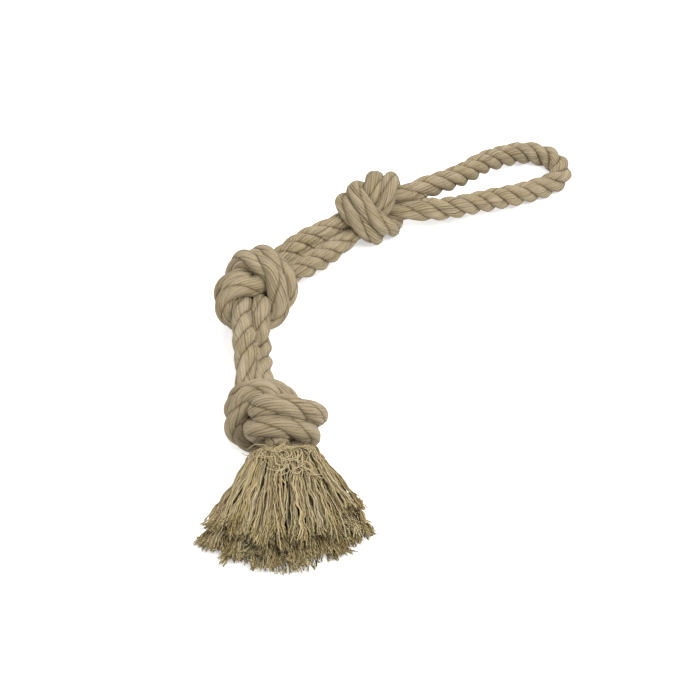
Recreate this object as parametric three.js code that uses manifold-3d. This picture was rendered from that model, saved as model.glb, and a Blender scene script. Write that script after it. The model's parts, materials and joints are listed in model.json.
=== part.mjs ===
// Rope dog toy, lying on the floor as it is used.
// One length of three-strand hemp rope is doubled, so that its middle is a hand loop,
// and the two ropes are tied together in three doubled overhand knots. Past the last
// knot both ends are opened into strands and frayed into a tassel.
// Units are millimetres. +Z is up, +X runs to the side that the loop points to, and
// +Y runs from the tassel towards the loop.
import * as THREE from "three";
import { mergeVertices } from "three/addons/utils/BufferGeometryUtils.js";
import Module from "manifold-3d";

const wasm = await Module();
wasm.setup();

// Rope
const ROPE_DIAMETER = 20; // where it lies free
const ROPE_GAP = 1.1; // between passes of rope that touch
const BOTTOM_KNOT_PASS = 17.3; // from pass to pass in the bottom knot, where rope is squeezed
const MIDDLE_KNOT_PASS = 16.2;
const HANDLE_KNOT_PASS = 14.7;
const FACE_GAP = 0.3; // between the cut faces of two stretches of one rope
const ROPE_STEP = 6.6; // between the rings of a rope's surface
const ROUTE_STEP = 1; // between the points at which a rope's route is measured
const BEND_DIVISIONS = 12; // from one bend's middle to the next, to measure the route's length
const BEND_REACH = 3; // to each side of a point, where the route's direction is measured
const NEIGHBOUR_LENGTH = 30; // rope nearer along its own length than this isn't another pass
const CUT_OVERRUN = 5; // of the cutter, past what it cuts

// The toy seen from above
const HANDLE_KNOT_DISTANCE = 152.5; // from the middle knot's centre
const BOTTOM_KNOT_DISTANCE = 158; // from the middle knot's centre
const LEG_REACH = 98; // from the handle knot's centre to where the loop's legs become its grip
const END_REACH = 38; // from the bottom knot's centre to where the two ropes are opened
const HANDLE_KNOT_HEADING = 45.3; // degrees from +X, from the middle knot's centre to the handle knot's
const BOTTOM_KNOT_HEADING = -84.8; // from the middle knot's centre to the bottom knot's
const UPPER_SPAN_HEADING = 47; // of the two ropes between the middle knot and the handle knot
const LOWER_SPAN_HEADING = -86; // of the two ropes between the middle knot and the bottom knot
const LOOP_HEADING = 12; // of the loop's two legs as they leave the handle knot
const TASSEL_HEADING = -88; // of the two rope ends as they leave the bottom knot
const FAN_HEADING = -89.5; // of the tassel's middle

// Loop: rope centre from its upper leg round to its lower leg, from the handle knot's centre
// and above the floor
const LOOP_ROUTE = [
  [65, 32.5, 29], [84, 47.5, 24.5], [104, 67.5, 20], [123, 80.5, 16], [141.5, 89.5, 12.5],
  [156, 91, 10], [168.5, 86, 8.6], [175.5, 77, 8], [177, 66, 8], [171.5, 55.5, 8], [160.5, 47.5, 8.6],
  [147, 40, 10], [129.5, 31, 12.5], [110, 22, 16], [91.5, 13, 19.5], [72.5, 4, 23],
];

// The ends of the two ropes, from the bottom knot's centre
const ROPE_ENDS = [[18, -46, 11], [8.5, -46, -6]];

// Tassel, measured from the apex of its fan
const TASSEL_LENGTH = 146; // to the longest yarn ends
const TASSEL_SPREAD = 65; // degrees between its two edges
const TASSEL_SHIFT = [10, 4.5]; // of its apex from the bottom knot's centre, along X and Y
const TASSEL_START = 55; // to where the strands are open
const TASSEL_START_HEIGHT = 32; // of the fan's middle there
const FAN_SINK = 1.5; // how far the fan's underside is pressed flat on the floor
const TASSEL_THICKNESS = 26; // of the fan at its start
const TASSEL_END_THICKNESS = 21; // at its ends, which lie on the floor
const FAN_EDGE_DROP = 6; // how much lower the fan's top is at its edges
const TUFT_GAP = 0.5; // between neighbouring tufts
const UPPER_SHORTER = 18; // how much shorter the fan's upper layer is
const STRAND_GAP = 0.8; // between the strands that leave a rope's end
const STRAND_EASE = 5; // length over which a strand takes the direction of its end

// Unitless shapes
const FLAT_SHARE = 0.1; // of a cord's diameter, cut flat where it stands on the floor
const SWELL_SHARE = 0.2; // how fast squeezed rope swells along its length
const FAN_LANDING_SHARE = 0.42; // of the fan's length, where its underside reaches the floor
const FAN_DROP_SHARE = 0.85; // how soon the fan's top comes down: 1 is evenly along its length
const TUFT_LENGTH_SHARES = [0.96, 0.98, 1, 0.985, 0.955, 0.885]; // of the tassel's length, from its left
const TUFT_END_SHARE = 0.62; // of a tuft's section, at its end
const TUFT_SQUARENESS_SHARE = 0.7; // of a tuft's section: 1 is round
const STRAND_SIZE_SHARE = 0.464; // of the rope's radius: three round strands that fill it
const STRAND_WAIST_SHARE = 0.5; // of its end's size, where it starts to take the direction of its end
const TUFTS_PER_STRAND = 2;
const TUFT_RINGS = 7;
const TUFT_SIDES = 12;
const STRAND_RINGS = 5;
const ROPE_SIDES = 10;
const ROUGHNESS = 0.95;

// Where the first rope of a pair lies from the pair's middle: across its heading, and up
const UPPER_PAIR_SHARES = [0.95, 0.3];
const LOWER_PAIR_SHARES = [0.62, -0.78];
const LOOP_PAIR_SHARES = [0.9, 0.43];
const TASSEL_PAIR_SHARES = [0.8, 0.6];
// How far a pair leaves its knot from the knot's middle, in shares of the distance from pass to
// pass: across the pair's heading as it leaves, and up
const BOTTOM_EXIT_SHARES = [[0.7, -0.05], [2.4, -0.55]];
const MIDDLE_EXIT_SHARES = [[-0.7, 0.1], [0.3, -0.15]];
const HANDLE_EXIT_SHARES = [[-0.45, -0.55], [0, 0]];

// The strands of each rope's end: where each leaves the rope's round end, in degrees, and the
// pair of the fan's cells that it opens into, from the left. Rope a opens into the upper layer.
const UPPER_STRANDS = [{ angle: 180, pair: 0 }, { angle: 60, pair: 1 }, { angle: 300, pair: 2 }];
const LOWER_STRANDS = [{ angle: 150, pair: 0 }, { angle: 270, pair: 1 }, { angle: 30, pair: 2 }];

// A doubled overhand knot. All its lengths are shares of the distance from pass to pass.
const KNOT_REACH_SHARE = 2.45; // from its centre to where its rope ends and a span begins
const KNOT_HOLD_SHARE = 3.8; // to where its tails are held while it is drawn tight
const KNOT_TAIL_SHARE = 6; // to the ends of its tails
const KNOT_LOOSE_TAIL_SHARE = 24; // to the ends of its tails before it is drawn tight
const KNOT_KEEP_SHARE = 2.6; // to where the route of a span or of the loop takes over
const TASSEL_KEEP_SHARE = 2.1; // to where the rope's end takes over
const CLOSE_SHARE = 1.4; // nodes nearer than this are watched
const NEIGHBOUR_SHARE = 1.7; // along one rope, where nodes may come nearer than a pass
const KNOT_NODES = 118;
const KNOT_PASSES = 2000;
const KNOT_SWEEPS = 4; // in each pass, while it is drawn tight
const SETTLING_SWEEPS = 10; // in each pass after that
const PAIRS_EVERY = 10; // passes, after which close nodes are looked for again
const CENTRE_EVERY = 5; // passes, after which the knot is moved back to its place
const BENT_SHARE = 0.4; // of the passes, after which its tails have their headings
const TIGHT_SHARE = 0.7; // of the passes, after which its rope has its length
const SETTLING_SHARE = 0.9; // of the passes, after which nothing draws on it any more
const STIFFNESS_SHARE = 0.15;
const SETTLING_STIFFNESS_SHARE = 0.02;
const CORE_SHARES = [0.3, 0.7]; // of each rope's nodes, whose mean is the knot's middle
const MOVED_SHARES = [0.2, 0.8]; // of each rope's nodes, which are moved with it
const CENTRE_SHARE = 0.06; // of the way back to its place, each time
const KNOT_MIDDLE_SHARES = [1.5, 2.2, 0];
// The knot's loose route. Its own x axis runs along the toy.
const KNOT_ROUTE_SHARES = [
  [-16, 0, 0], [-10, 0, 0], [-5, 0, 0], [-2.2, 0, -1.3], [0.8, 0, 1.3], [4, 0.6, 0.2],
  [5.4, 3.2, -1.2], [3.6, 6.4, -1.2], [0, 7.2, 0], [-3.2, 5.6, 1], [-3.6, 2.2, 1.6],
  [-2.6, -1.4, 1.2], [-0.4, -3, -0.6], [1.8, -1, -1.6], [2.4, 2, -1.2], [4, 4.4, 1.2],
  [7.5, 4.4, 1.4], [11, 2, 0.6], [16, 0, 0], [20, 0, 0],
];
// Each knot's turn about the toy's length in degrees, its hand, and the rope's length in it.
// pullShares are bights drawn out of it: the rope, from and to along it, how hard along X and Y.
const BOTTOM_KNOT = {
  roll: 250,
  mirrored: true,
  turned: false,
  lengthShare: 30,
  pullShares: [[0, 0.487, 0.547, 0.039, -0.005], [1, 0.462, 0.522, 0.039, -0.005]],
};
const MIDDLE_KNOT = { roll: 115, mirrored: false, turned: false, lengthShare: 24, pullShares: [] };
const HANDLE_KNOT = { roll: 245, mirrored: true, turned: true, lengthShare: 24, pullShares: [] };

const HEMP = new THREE.Color("#b3a27e");
const HEMP_FRAYED = new THREE.Color("#a8946a");
const UP = new THREE.Vector3(0, 0, 1);

const radians = THREE.MathUtils.degToRad;
const heading = (degrees) => (
  new THREE.Vector3(Math.cos(radians(degrees)), Math.sin(radians(degrees)), 0));

function pairOffset(degrees, [sideShare, upShare]) {
  return heading(degrees + 90).multiplyScalar(sideShare).addScaledVector(UP, upShare).normalize();
}

function polylineLength(points) {
  return points.slice(1).reduce((sum, point, i) => sum + point.distanceTo(points[i]), 0);
}

// Two ropes side by side along the loose route of a knot that joins two headings
function looseKnot(headings, { roll, mirrored, turned }) {
  const route = new THREE.CatmullRomCurve3(
    KNOT_ROUTE_SHARES.map((share) => new THREE.Vector3(...share)), false, "centripetal");
  const middle = route.getSpacedPoints(KNOT_NODES - 1);
  const axis = headings[1].clone().sub(headings[0]).normalize();
  const place = new THREE.Matrix4().makeRotationZ(Math.atan2(axis.y, axis.x));
  place.multiply(new THREE.Matrix4().makeRotationX(radians(roll)));
  if (turned) place.multiply(new THREE.Matrix4().makeScale(-1, 1, -1));
  if (mirrored) place.multiply(new THREE.Matrix4().makeScale(1, 1, -1));
  const ropes = [1, -1].map((side) => middle.map((point, i) => {
    const next = middle[Math.min(KNOT_NODES - 1, i + 1)];
    const along = next.clone().sub(middle[Math.max(0, i - 1)]).normalize();
    const aside = UP.clone().addScaledVector(along, -along.z).normalize();
    return point.clone().addScaledVector(aside, side / 2)
      .sub(new THREE.Vector3(...KNOT_MIDDLE_SHARES)).applyMatrix4(place);
  }));
  return { axis, ropes: turned ? ropes.map((rope) => rope.reverse()) : ropes };
}

// Draws a doubled overhand knot tight: its two ropes are shortened until they touch everywhere.
// tails: for each end of the knot its heading, where the pair leaves from the knot's middle,
// the direction from that pair's middle to one rope, half the pair's width, and side: 1 where
// that rope is the knot's first one, else -1.
function tightenKnot(tails, settings) {
  const count = KNOT_NODES;
  const headings = tails.map((tail) => heading(tail.heading));
  const { axis, ropes } = looseKnot(headings, settings);
  const firstOffsets = [0, count - 1].map((i) => ropes[0][i].clone().sub(ropes[1][i]).normalize());
  const tightStep = settings.lengthShare / (count - 1);
  const looseSteps = ropes.map((rope) => polylineLength(rope) / (count - 1));
  const held = Math.floor((KNOT_TAIL_SHARE - KNOT_HOLD_SHARE) / tightStep);
  const p = new Float64Array(2 * count * 3);
  ropes.forEach((rope, s) => rope.forEach((point, i) => point.toArray(p, 3 * (s * count + i))));
  const nudge = (i, x, y, z) => {
    p[3 * i] += x;
    p[3 * i + 1] += y;
    p[3 * i + 2] += z;
  };
  const separate = (i, j, wanted, onlyPush) => {
    const x = p[3 * j] - p[3 * i];
    const y = p[3 * j + 1] - p[3 * i + 1];
    const z = p[3 * j + 2] - p[3 * i + 2];
    const distance = Math.sqrt(x * x + y * y + z * z);
    if (onlyPush && distance >= wanted) return;
    const share = (distance - wanted) / distance / 2;
    nudge(i, x * share, y * share, z * share);
    nudge(j, -x * share, -y * share, -z * share);
  };

  let pairs = [];
  for (let pass = 0; pass < KNOT_PASSES; pass += 1) {
    const progress = pass / KNOT_PASSES;
    const settling = progress >= SETTLING_SHARE;
    const tight = Math.min(1, progress / TIGHT_SHARE);
    const bent = Math.min(1, progress / BENT_SHARE);
    const steps = looseSteps.map((loose) => loose + (tightStep - loose) * tight);
    const farEnd = KNOT_LOOSE_TAIL_SHARE + (KNOT_TAIL_SHARE - KNOT_LOOSE_TAIL_SHARE) * tight;
    // The tails are held in place, and turn slowly from straight to their real headings
    tails.forEach((tail, end) => {
      const straight = axis.clone().multiplyScalar(end ? 1 : -1);
      const direction = straight.lerp(headings[end], bent).normalize();
      const offset = firstOffsets[end].clone().multiplyScalar(tail.side);
      offset.lerp(tail.offset, bent).normalize();
      for (const s of [0, 1]) {
        const aside = offset.clone().multiplyScalar((s ? -1 : 1) * tail.side * tail.halfWidth);
        aside.addScaledVector(tail.exit, bent);
        for (let q = 0; q < held; q += 1) {
          const i = s * count + (end ? count - 1 - q : q);
          direction.clone().multiplyScalar(farEnd - q * steps[s]).add(aside).toArray(p, 3 * i);
        }
      }
    });
    if (pass % CENTRE_EVERY === 0) centreKnot(p);
    if (!settling) {
      for (const [s, from, to, x, y] of settings.pullShares) {
        for (let i = Math.round(from * count); i <= Math.round(to * count); i += 1) {
          nudge(s * count + i, x * tight, y * tight, 0);
        }
      }
    }
    resistBending(p, nudge, settling ? SETTLING_STIFFNESS_SHARE : STIFFNESS_SHARE);
    if (pass % PAIRS_EVERY === 0) pairs = closePairs(p, steps[0]);
    for (let sweep = settling ? SETTLING_SWEEPS : KNOT_SWEEPS; sweep > 0; sweep -= 1) {
      for (const s of [0, 1]) {
        for (let i = s * count; i < (s + 1) * count - 1; i += 1) separate(i, i + 1, steps[s], false);
      }
      for (const [i, j] of pairs) separate(i, j, 1, true);
    }
  }
  const node = (s, i) => new THREE.Vector3().fromArray(p, 3 * (s * count + i));
  return [0, 1].map((s) => Array.from({ length: count }, (_, i) => node(s, i)));
}

// Moves a knot back to its place
function centreKnot(p) {
  const nodes = Array.from({ length: 2 * KNOT_NODES }, (_, i) => i);
  const between = ([from, to]) => (i) => (
    i % KNOT_NODES > KNOT_NODES * from && i % KNOT_NODES < KNOT_NODES * to);
  const core = nodes.filter(between(CORE_SHARES));
  const mean = [0, 1, 2].map((c) => core.reduce((sum, i) => sum + p[3 * i + c], 0) / core.length);
  for (const i of nodes.filter(between(MOVED_SHARES))) {
    mean.forEach((value, c) => {
      p[3 * i + c] -= CENTRE_SHARE * value;
    });
  }
}

// Moves each node towards the middle of its neighbours, and them the other way
function resistBending(p, nudge, stiffness) {
  const bendAt = (i, c) => (p[3 * (i - 1) + c] + p[3 * (i + 1) + c]) / 2 - p[3 * i + c];
  for (const s of [0, 1]) {
    for (let i = s * KNOT_NODES + 1; i < (s + 1) * KNOT_NODES - 1; i += 1) {
      const bend = [0, 1, 2].map((c) => stiffness * bendAt(i, c));
      nudge(i, ...bend);
      nudge(i - 1, ...bend.map((value) => -value / 2));
      nudge(i + 1, ...bend.map((value) => -value / 2));
    }
  }
}

// Nodes that lie close together and are not neighbours along one rope
function closePairs(p, step) {
  const apart = Math.ceil(NEIGHBOUR_SHARE / step);
  const pairs = [];
  for (let i = 0; i < 2 * KNOT_NODES; i += 1) {
    for (let j = i + 1; j < 2 * KNOT_NODES; j += 1) {
      const sameRope = i < KNOT_NODES === j < KNOT_NODES;
      if (sameRope && j - i < apart) continue;
      const distance = Math.hypot(...[0, 1, 2].map((c) => p[3 * i + c] - p[3 * j + c]));
      if (distance < CLOSE_SHARE) pairs.push([i, j]);
    }
  }
  return pairs;
}

// A knot of the toy: its route drawn tight, in real size, and standing on the floor
function makeKnot(name, pass, centre, tails, settings) {
  const halfWidth = (ROPE_DIAMETER + ROPE_GAP) / 2 / pass;
  const ropes = tightenKnot(tails.map((tail) => ({ ...tail, halfWidth })), settings);
  const inside = ropes.flat().filter(({ x, y }) => Math.hypot(x, y) < KNOT_REACH_SHARE);
  const lowest = pass * Math.min(...inside.map((point) => point.z));
  const squeezed = pass - ROPE_GAP;
  const middle = centre.clone().setZ(squeezed / 2 - FLAT_SHARE * squeezed - lowest);
  ropes.forEach((rope) => rope.forEach((point) => point.multiplyScalar(pass).add(middle)));
  return { name, ropes, tails, centre: middle, reach: KNOT_REACH_SHARE * pass, pass };
}

// One end of a knot, where its pair of ropes leaves it
function makeTail(degrees, offset, side, [sideShare, upShare], keepShare) {
  const exit = heading(degrees + 90).multiplyScalar(sideShare).addScaledVector(UP, upShare);
  return { heading: degrees, offset, side, exit, keepShare };
}

// The three knots, from the tassel to the loop. Each has its tassel side first.
function makeKnots() {
  const lowerPair = pairOffset(LOWER_SPAN_HEADING, LOWER_PAIR_SHARES);
  const upperPair = pairOffset(UPPER_SPAN_HEADING, UPPER_PAIR_SHARES);
  const tasselPair = pairOffset(TASSEL_HEADING, TASSEL_PAIR_SHARES);
  const loopPair = pairOffset(LOOP_HEADING, LOOP_PAIR_SHARES);
  const bottomTails = [
    makeTail(TASSEL_HEADING, tasselPair, -1, BOTTOM_EXIT_SHARES[0], TASSEL_KEEP_SHARE),
    makeTail(LOWER_SPAN_HEADING + 180, lowerPair, 1, BOTTOM_EXIT_SHARES[1], KNOT_KEEP_SHARE),
  ];
  const middleTails = [
    makeTail(LOWER_SPAN_HEADING, lowerPair, 1, MIDDLE_EXIT_SHARES[0], KNOT_KEEP_SHARE),
    makeTail(UPPER_SPAN_HEADING, upperPair, 1, MIDDLE_EXIT_SHARES[1], KNOT_KEEP_SHARE),
  ];
  const handleTails = [
    makeTail(UPPER_SPAN_HEADING + 180, upperPair, 1, HANDLE_EXIT_SHARES[0], KNOT_KEEP_SHARE),
    makeTail(LOOP_HEADING, loopPair, -1, HANDLE_EXIT_SHARES[1], KNOT_KEEP_SHARE),
  ];
  const bottomCentre = heading(BOTTOM_KNOT_HEADING).multiplyScalar(BOTTOM_KNOT_DISTANCE);
  const handleCentre = heading(HANDLE_KNOT_HEADING).multiplyScalar(HANDLE_KNOT_DISTANCE);
  return [
    makeKnot("bottom_knot", BOTTOM_KNOT_PASS, bottomCentre, bottomTails, BOTTOM_KNOT),
    makeKnot("middle_knot", MIDDLE_KNOT_PASS, new THREE.Vector3(), middleTails, MIDDLE_KNOT),
    makeKnot("handle_knot", HANDLE_KNOT_PASS, handleCentre, handleTails, HANDLE_KNOT),
  ];
}

const floorDistance = (a, b) => Math.hypot(a.x - b.x, a.y - b.y);

// The points of one rope in each knot, from the handle knot to the bottom one and from the
// loop to the rope's frayed end. firstSide is 1 or -1: where the rope enters the handle knot,
// towards its pair's offset or away from it.
function followRope(knots, firstSide) {
  let side = firstSide;
  return knots.toReversed().map(({ ropes, tails, centre, pass }) => {
    const rope = side === tails[1].side ? 0 : 1;
    side = rope === 0 ? tails[0].side : -tails[0].side;
    const points = ropes[rope];
    const first = points.findIndex((point) => floorDistance(point, centre) < tails[0].keepShare * pass);
    const last = points.findLastIndex((point) => floorDistance(point, centre) < tails[1].keepShare * pass);
    return points.slice(first, last + 1).reverse();
  });
}

// Halfway along a span its two ropes lie side by side. own and other are the points where each
// rope leaves one knot and enters the next.
function spanMiddle(own, other, offset) {
  const mean = (points) => (
    points.reduce((sum, point) => sum.add(point), new THREE.Vector3()).divideScalar(points.length));
  const pairMiddle = mean([...own, ...other]);
  const side = mean(own).sub(pairMiddle).dot(offset) < 0 ? -1 : 1;
  return pairMiddle.addScaledVector(offset, side * (ROPE_DIAMETER + ROPE_GAP) / 2);
}

// The whole rope's route, from one frayed end through the loop to the other
function makeRoute(knots) {
  const handle = knots.at(-1).centre;
  const bottom = knots[0].centre;
  const loop = LOOP_ROUTE.map(([x, y, z]) => new THREE.Vector3(handle.x + x, handle.y + y, z));
  const ropes = [followRope(knots, 1), followRope(knots, -1)];
  const ends = (rope, span) => [rope[span].at(-1), rope[span + 1][0]];
  const offsets = [knots[1].tails[1].offset, knots[1].tails[0].offset];
  const [first, second] = ropes.map((rope, i) => [
    ...rope[0],
    spanMiddle(ends(rope, 0), ends(ropes[1 - i], 0), offsets[0]),
    ...rope[1],
    spanMiddle(ends(rope, 1), ends(ropes[1 - i], 1), offsets[1]),
    ...rope[2],
    new THREE.Vector3(...ROPE_ENDS[i]).add(bottom),
  ]);
  const bends = [...first.reverse(), ...loop, ...second];
  const curve = new THREE.CatmullRomCurve3(bends, false, "centripetal");
  curve.arcLengthDivisions = BEND_DIVISIONS * bends.length;
  const count = Math.round(curve.getLength() / ROUTE_STEP);
  const step = curve.getLength() / count;
  const points = curve.getSpacedPoints(count);
  const diameters = freeDiameters(points, step);
  const pointAt = (at) => {
    const place = THREE.MathUtils.clamp(at / step, 0, count);
    const i = Math.min(count - 1, Math.floor(place));
    return points[i].clone().lerp(points[i + 1], place - i);
  };
  return {
    points,
    step,
    at(at) {
      const forward = pointAt(at + BEND_REACH).sub(pointAt(at - BEND_REACH)).normalize();
      const diameter = diameters[THREE.MathUtils.clamp(Math.round(at / step), 0, count)];
      return { at, point: pointAt(at), forward, diameter };
    },
  };
}

// The widest round section at each point of the route that stays clear of every other pass.
// It widens and narrows slowly.
function freeDiameters(points, step) {
  const apart = Math.ceil(NEIGHBOUR_LENGTH / step);
  const free = points.map(() => ROPE_DIAMETER);
  for (let i = 0; i < points.length; i += 1) {
    for (let j = i + apart; j < points.length; j += 1) {
      const room = points[i].distanceTo(points[j]) - ROPE_GAP;
      free[i] = Math.min(free[i], room);
      free[j] = Math.min(free[j], room);
    }
  }
  const swell = SWELL_SHARE * step;
  for (let i = 1; i < free.length; i += 1) free[i] = Math.min(free[i], free[i - 1] + swell);
  for (let i = free.length - 2; i >= 0; i -= 1) free[i] = Math.min(free[i], free[i + 1] + swell);
  return free;
}

// Closed skin over rings of points, each counterclockwise as seen from the last ring
function skin(rings) {
  const sides = rings[0].length;
  const last = (rings.length - 1) * sides;
  const index = [];
  for (let start = 0; start < last; start += sides) {
    for (let side = 0; side < sides; side += 1) {
      const [a, b] = [start + side, start + (side + 1) % sides];
      index.push(a, b, a + sides, b, b + sides, a + sides);
    }
  }
  for (let side = 1; side < sides - 1; side += 1) {
    index.push(0, side + 1, side, last, last + side, last + side + 1);
  }
  const geometry = new THREE.BufferGeometry();
  const places = rings.flat().flatMap((point) => point.toArray());
  geometry.setAttribute("position", new THREE.Float32BufferAttribute(places, 3));
  geometry.setIndex(index);
  return geometry;
}

// A unit outline, round where squareness is 1 and nearer to a square below that
function unitSection(sides, squareness) {
  return Array.from({ length: sides }, (_, i) => {
    const angle = 2 * Math.PI * (i + 0.5) / sides;
    return [Math.cos(angle), Math.sin(angle)].map((value) => (
      Math.sign(value) * Math.abs(value) ** squareness));
  });
}

// A ring of points square to a forward direction
function roundRing(centre, side, forward, radius, sides) {
  const up = forward.clone().cross(side);
  return unitSection(sides, 1).map(([u, v]) => (
    centre.clone().addScaledVector(side, u * radius).addScaledVector(up, v * radius)));
}

const sidewaysOf = (forward) => UP.clone().cross(forward).normalize();

// A stretch of rope, from one length along the route to another
function ropeStretch(route, from, to) {
  const steps = Math.max(2, Math.round((to - from) / ROPE_STEP));
  const centres = Array.from({ length: steps + 1 }, (_, i) => route.at(from + (to - from) * i / steps));
  const side = sidewaysOf(centres[0].forward);
  const rings = centres.map(({ point, forward, diameter }) => {
    side.addScaledVector(forward, -side.dot(forward)).normalize();
    return roundRing(point, side, forward, diameter / 2, ROPE_SIDES);
  });
  return { geometry: skin(rings), centres };
}

// The smallest distance between the surfaces of stretches of rope, measured on points of the
// straight runs between their rings. Near neighbours along the rope don't count.
function leastGap(first, second) {
  const pointsOf = ({ centres }) => centres.slice(1).flatMap((end, i) => {
    const start = centres[i];
    const count = Math.ceil((end.at - start.at) / ROUTE_STEP);
    return Array.from({ length: count + 1 }, (_, k) => ({
      point: start.point.clone().lerp(end.point, k / count),
      at: THREE.MathUtils.lerp(start.at, end.at, k / count),
      diameter: THREE.MathUtils.lerp(start.diameter, end.diameter, k / count),
    }));
  });
  const others = second.flatMap(pointsOf);
  let least = Infinity;
  for (const one of first.flatMap(pointsOf)) {
    for (const two of others) {
      if (Math.abs(one.at - two.at) < NEIGHBOUR_LENGTH) continue;
      least = Math.min(least, one.point.distanceTo(two.point) - (one.diameter + two.diameter) / 2);
    }
  }
  return least;
}

function makeSolid(geometry) {
  const merged = mergeVertices(geometry);
  const vertProperties = new Float32Array(merged.attributes.position.array);
  const triVerts = new Uint32Array(merged.index.array);
  return new wasm.Manifold(new wasm.Mesh({ numProp: 3, vertProperties, triVerts }));
}

// Cuts a solid flat where it stands on the floor
function standOnFloor(geometry) {
  geometry.computeBoundingBox();
  const { min, max } = geometry.boundingBox;
  if (min.z >= 0) return geometry;
  const size = max.clone().sub(min).addScalar(2 * CUT_OVERRUN);
  const slab = new THREE.BoxGeometry(size.x, size.y, CUT_OVERRUN);
  slab.deleteAttribute("normal");
  slab.deleteAttribute("uv");
  slab.translate((min.x + max.x) / 2, (min.y + max.y) / 2, -CUT_OVERRUN / 2);
  const mesh = makeSolid(geometry).subtract(makeSolid(slab)).getMesh();
  const cut = new THREE.BufferGeometry();
  cut.setAttribute("position", new THREE.BufferAttribute(new Float32Array(mesh.vertProperties), 3));
  cut.setIndex(new THREE.BufferAttribute(new Uint32Array(mesh.triVerts), 1));
  return cut;
}

function addMesh(toy, name, geometry, color) {
  const material = new THREE.MeshStandardMaterial({ color, roughness: ROUGHNESS, metalness: 0 });
  const mesh = new THREE.Mesh(standOnFloor(geometry), material);
  mesh.geometry.computeVertexNormals();
  mesh.name = name;
  toy.add(mesh);
}

// The heights of the fan's underside and top. along is the distance from the fan's apex, and
// aside runs from -1 to 1 across it.
function fanHeights(along, aside) {
  const share = (along - TASSEL_START) / (TASSEL_LENGTH - TASSEL_START);
  const landed = THREE.MathUtils.smoothstep(share, 0, FAN_LANDING_SHARE);
  const startTop = TASSEL_START_HEIGHT + TASSEL_THICKNESS / 2;
  const dropped = Math.max(0, share) ** FAN_DROP_SHARE;
  return {
    bottom: THREE.MathUtils.lerp(TASSEL_START_HEIGHT - TASSEL_THICKNESS / 2, -FAN_SINK, landed),
    top: THREE.MathUtils.lerp(startTop, TASSEL_END_THICKNESS, dropped) - FAN_EDGE_DROP * aside ** 2,
  };
}

// A ring of points around neighbouring cells of the fan, at one distance from its apex. Cells
// count from the fan's left edge, and layer 0 is the lower one.
function fanRing(apex, { cell, cells, layer }, along, scale) {
  const cellAngle = TASSEL_SPREAD / TUFT_LENGTH_SHARES.length;
  const gapAngle = THREE.MathUtils.radToDeg(TUFT_GAP / along);
  const middle = (cell + cells / 2) * cellAngle - TASSEL_SPREAD / 2;
  const halfAngle = scale * (cells * cellAngle - gapAngle) / 2;
  return unitSection(TUFT_SIDES, TUFT_SQUARENESS_SHARE).map(([u, v]) => {
    const angle = middle + u * halfAngle;
    const { bottom, top } = fanHeights(along, 2 * angle / TASSEL_SPREAD);
    const layerHeight = (top - bottom) / 2;
    const height = bottom + layerHeight * (layer + 0.5) + v * scale * (layerHeight - TUFT_GAP) / 2;
    return heading(FAN_HEADING + angle).multiplyScalar(along).add(apex).setZ(height);
  });
}

// One tuft of loose yarn
function makeTuft(apex, cell, layer) {
  const start = TASSEL_START + FACE_GAP;
  const end = TUFT_LENGTH_SHARES[cell] * TASSEL_LENGTH - layer * UPPER_SHORTER;
  const rings = Array.from({ length: TUFT_RINGS }, (_, i) => {
    const along = start + (end - start) * i / (TUFT_RINGS - 1);
    return fanRing(apex, { cell, cells: 1, layer }, along, i === TUFT_RINGS - 1 ? TUFT_END_SHARE : 1);
  });
  return skin(rings);
}

// One strand of the opened rope, from the rope's end to the tufts that it frays into
function makeStrand(apex, ropeEnd, { angle, pair }, layer) {
  const { point, forward, diameter } = ropeEnd;
  const radius = STRAND_SIZE_SHARE * diameter / 2;
  const side = sidewaysOf(forward);
  const offset = side.clone().applyAxisAngle(forward, radians(angle));
  const centre = point.clone().addScaledVector(forward, FACE_GAP);
  centre.addScaledVector(offset, diameter / 2 - radius);
  const start = roundRing(centre, side, forward, radius - STRAND_GAP / 2, TUFT_SIDES);
  const cells = { cell: pair * TUFTS_PER_STRAND, cells: TUFTS_PER_STRAND, layer };
  const end = fanRing(apex, cells, TASSEL_START, 1);
  const before = fanRing(apex, cells, TASSEL_START - STRAND_EASE, STRAND_WAIST_SHARE);
  const curves = start.map((from, i) => new THREE.CubicBezierCurve3(
    from, from.clone().addScaledVector(forward, STRAND_EASE), before[i], end[i]));
  return skin(Array.from({ length: STRAND_RINGS }, (_, ring) => (
    curves.map((curve) => curve.getPoint(ring / (STRAND_RINGS - 1))))));
}

// Adds one rope's strands and their tufts. ropeEnd is where it ends, facing out of the knot.
function addFrayedEnd(toy, apex, rope, ropeEnd, strands, layer) {
  strands.forEach((strand, i) => {
    const name = `${rope}${i + 1}`;
    addMesh(toy, `root_strand_${name}`, makeStrand(apex, ropeEnd, strand, layer), HEMP_FRAYED);
    for (let tuft = 0; tuft < TUFTS_PER_STRAND; tuft += 1) {
      const cell = strand.pair * TUFTS_PER_STRAND + tuft;
      addMesh(toy, `tassel_tuft_${name}_${tuft + 1}`, makeTuft(apex, cell, layer), HEMP_FRAYED);
    }
  });
}

// Lengths along the route where it first and last lies within a distance of a centre. half
// is 0 for the rope from its end to the loop, and 1 for the rope back.
function lengthsWithin({ points, step }, half, centre, distance) {
  const middle = Math.round(points.length / 2);
  const inside = (point, i) => (i < middle) === (half === 0) && floorDistance(point, centre) < distance;
  return [points.findIndex(inside) * step, points.findLastIndex(inside) * step];
}

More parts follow.
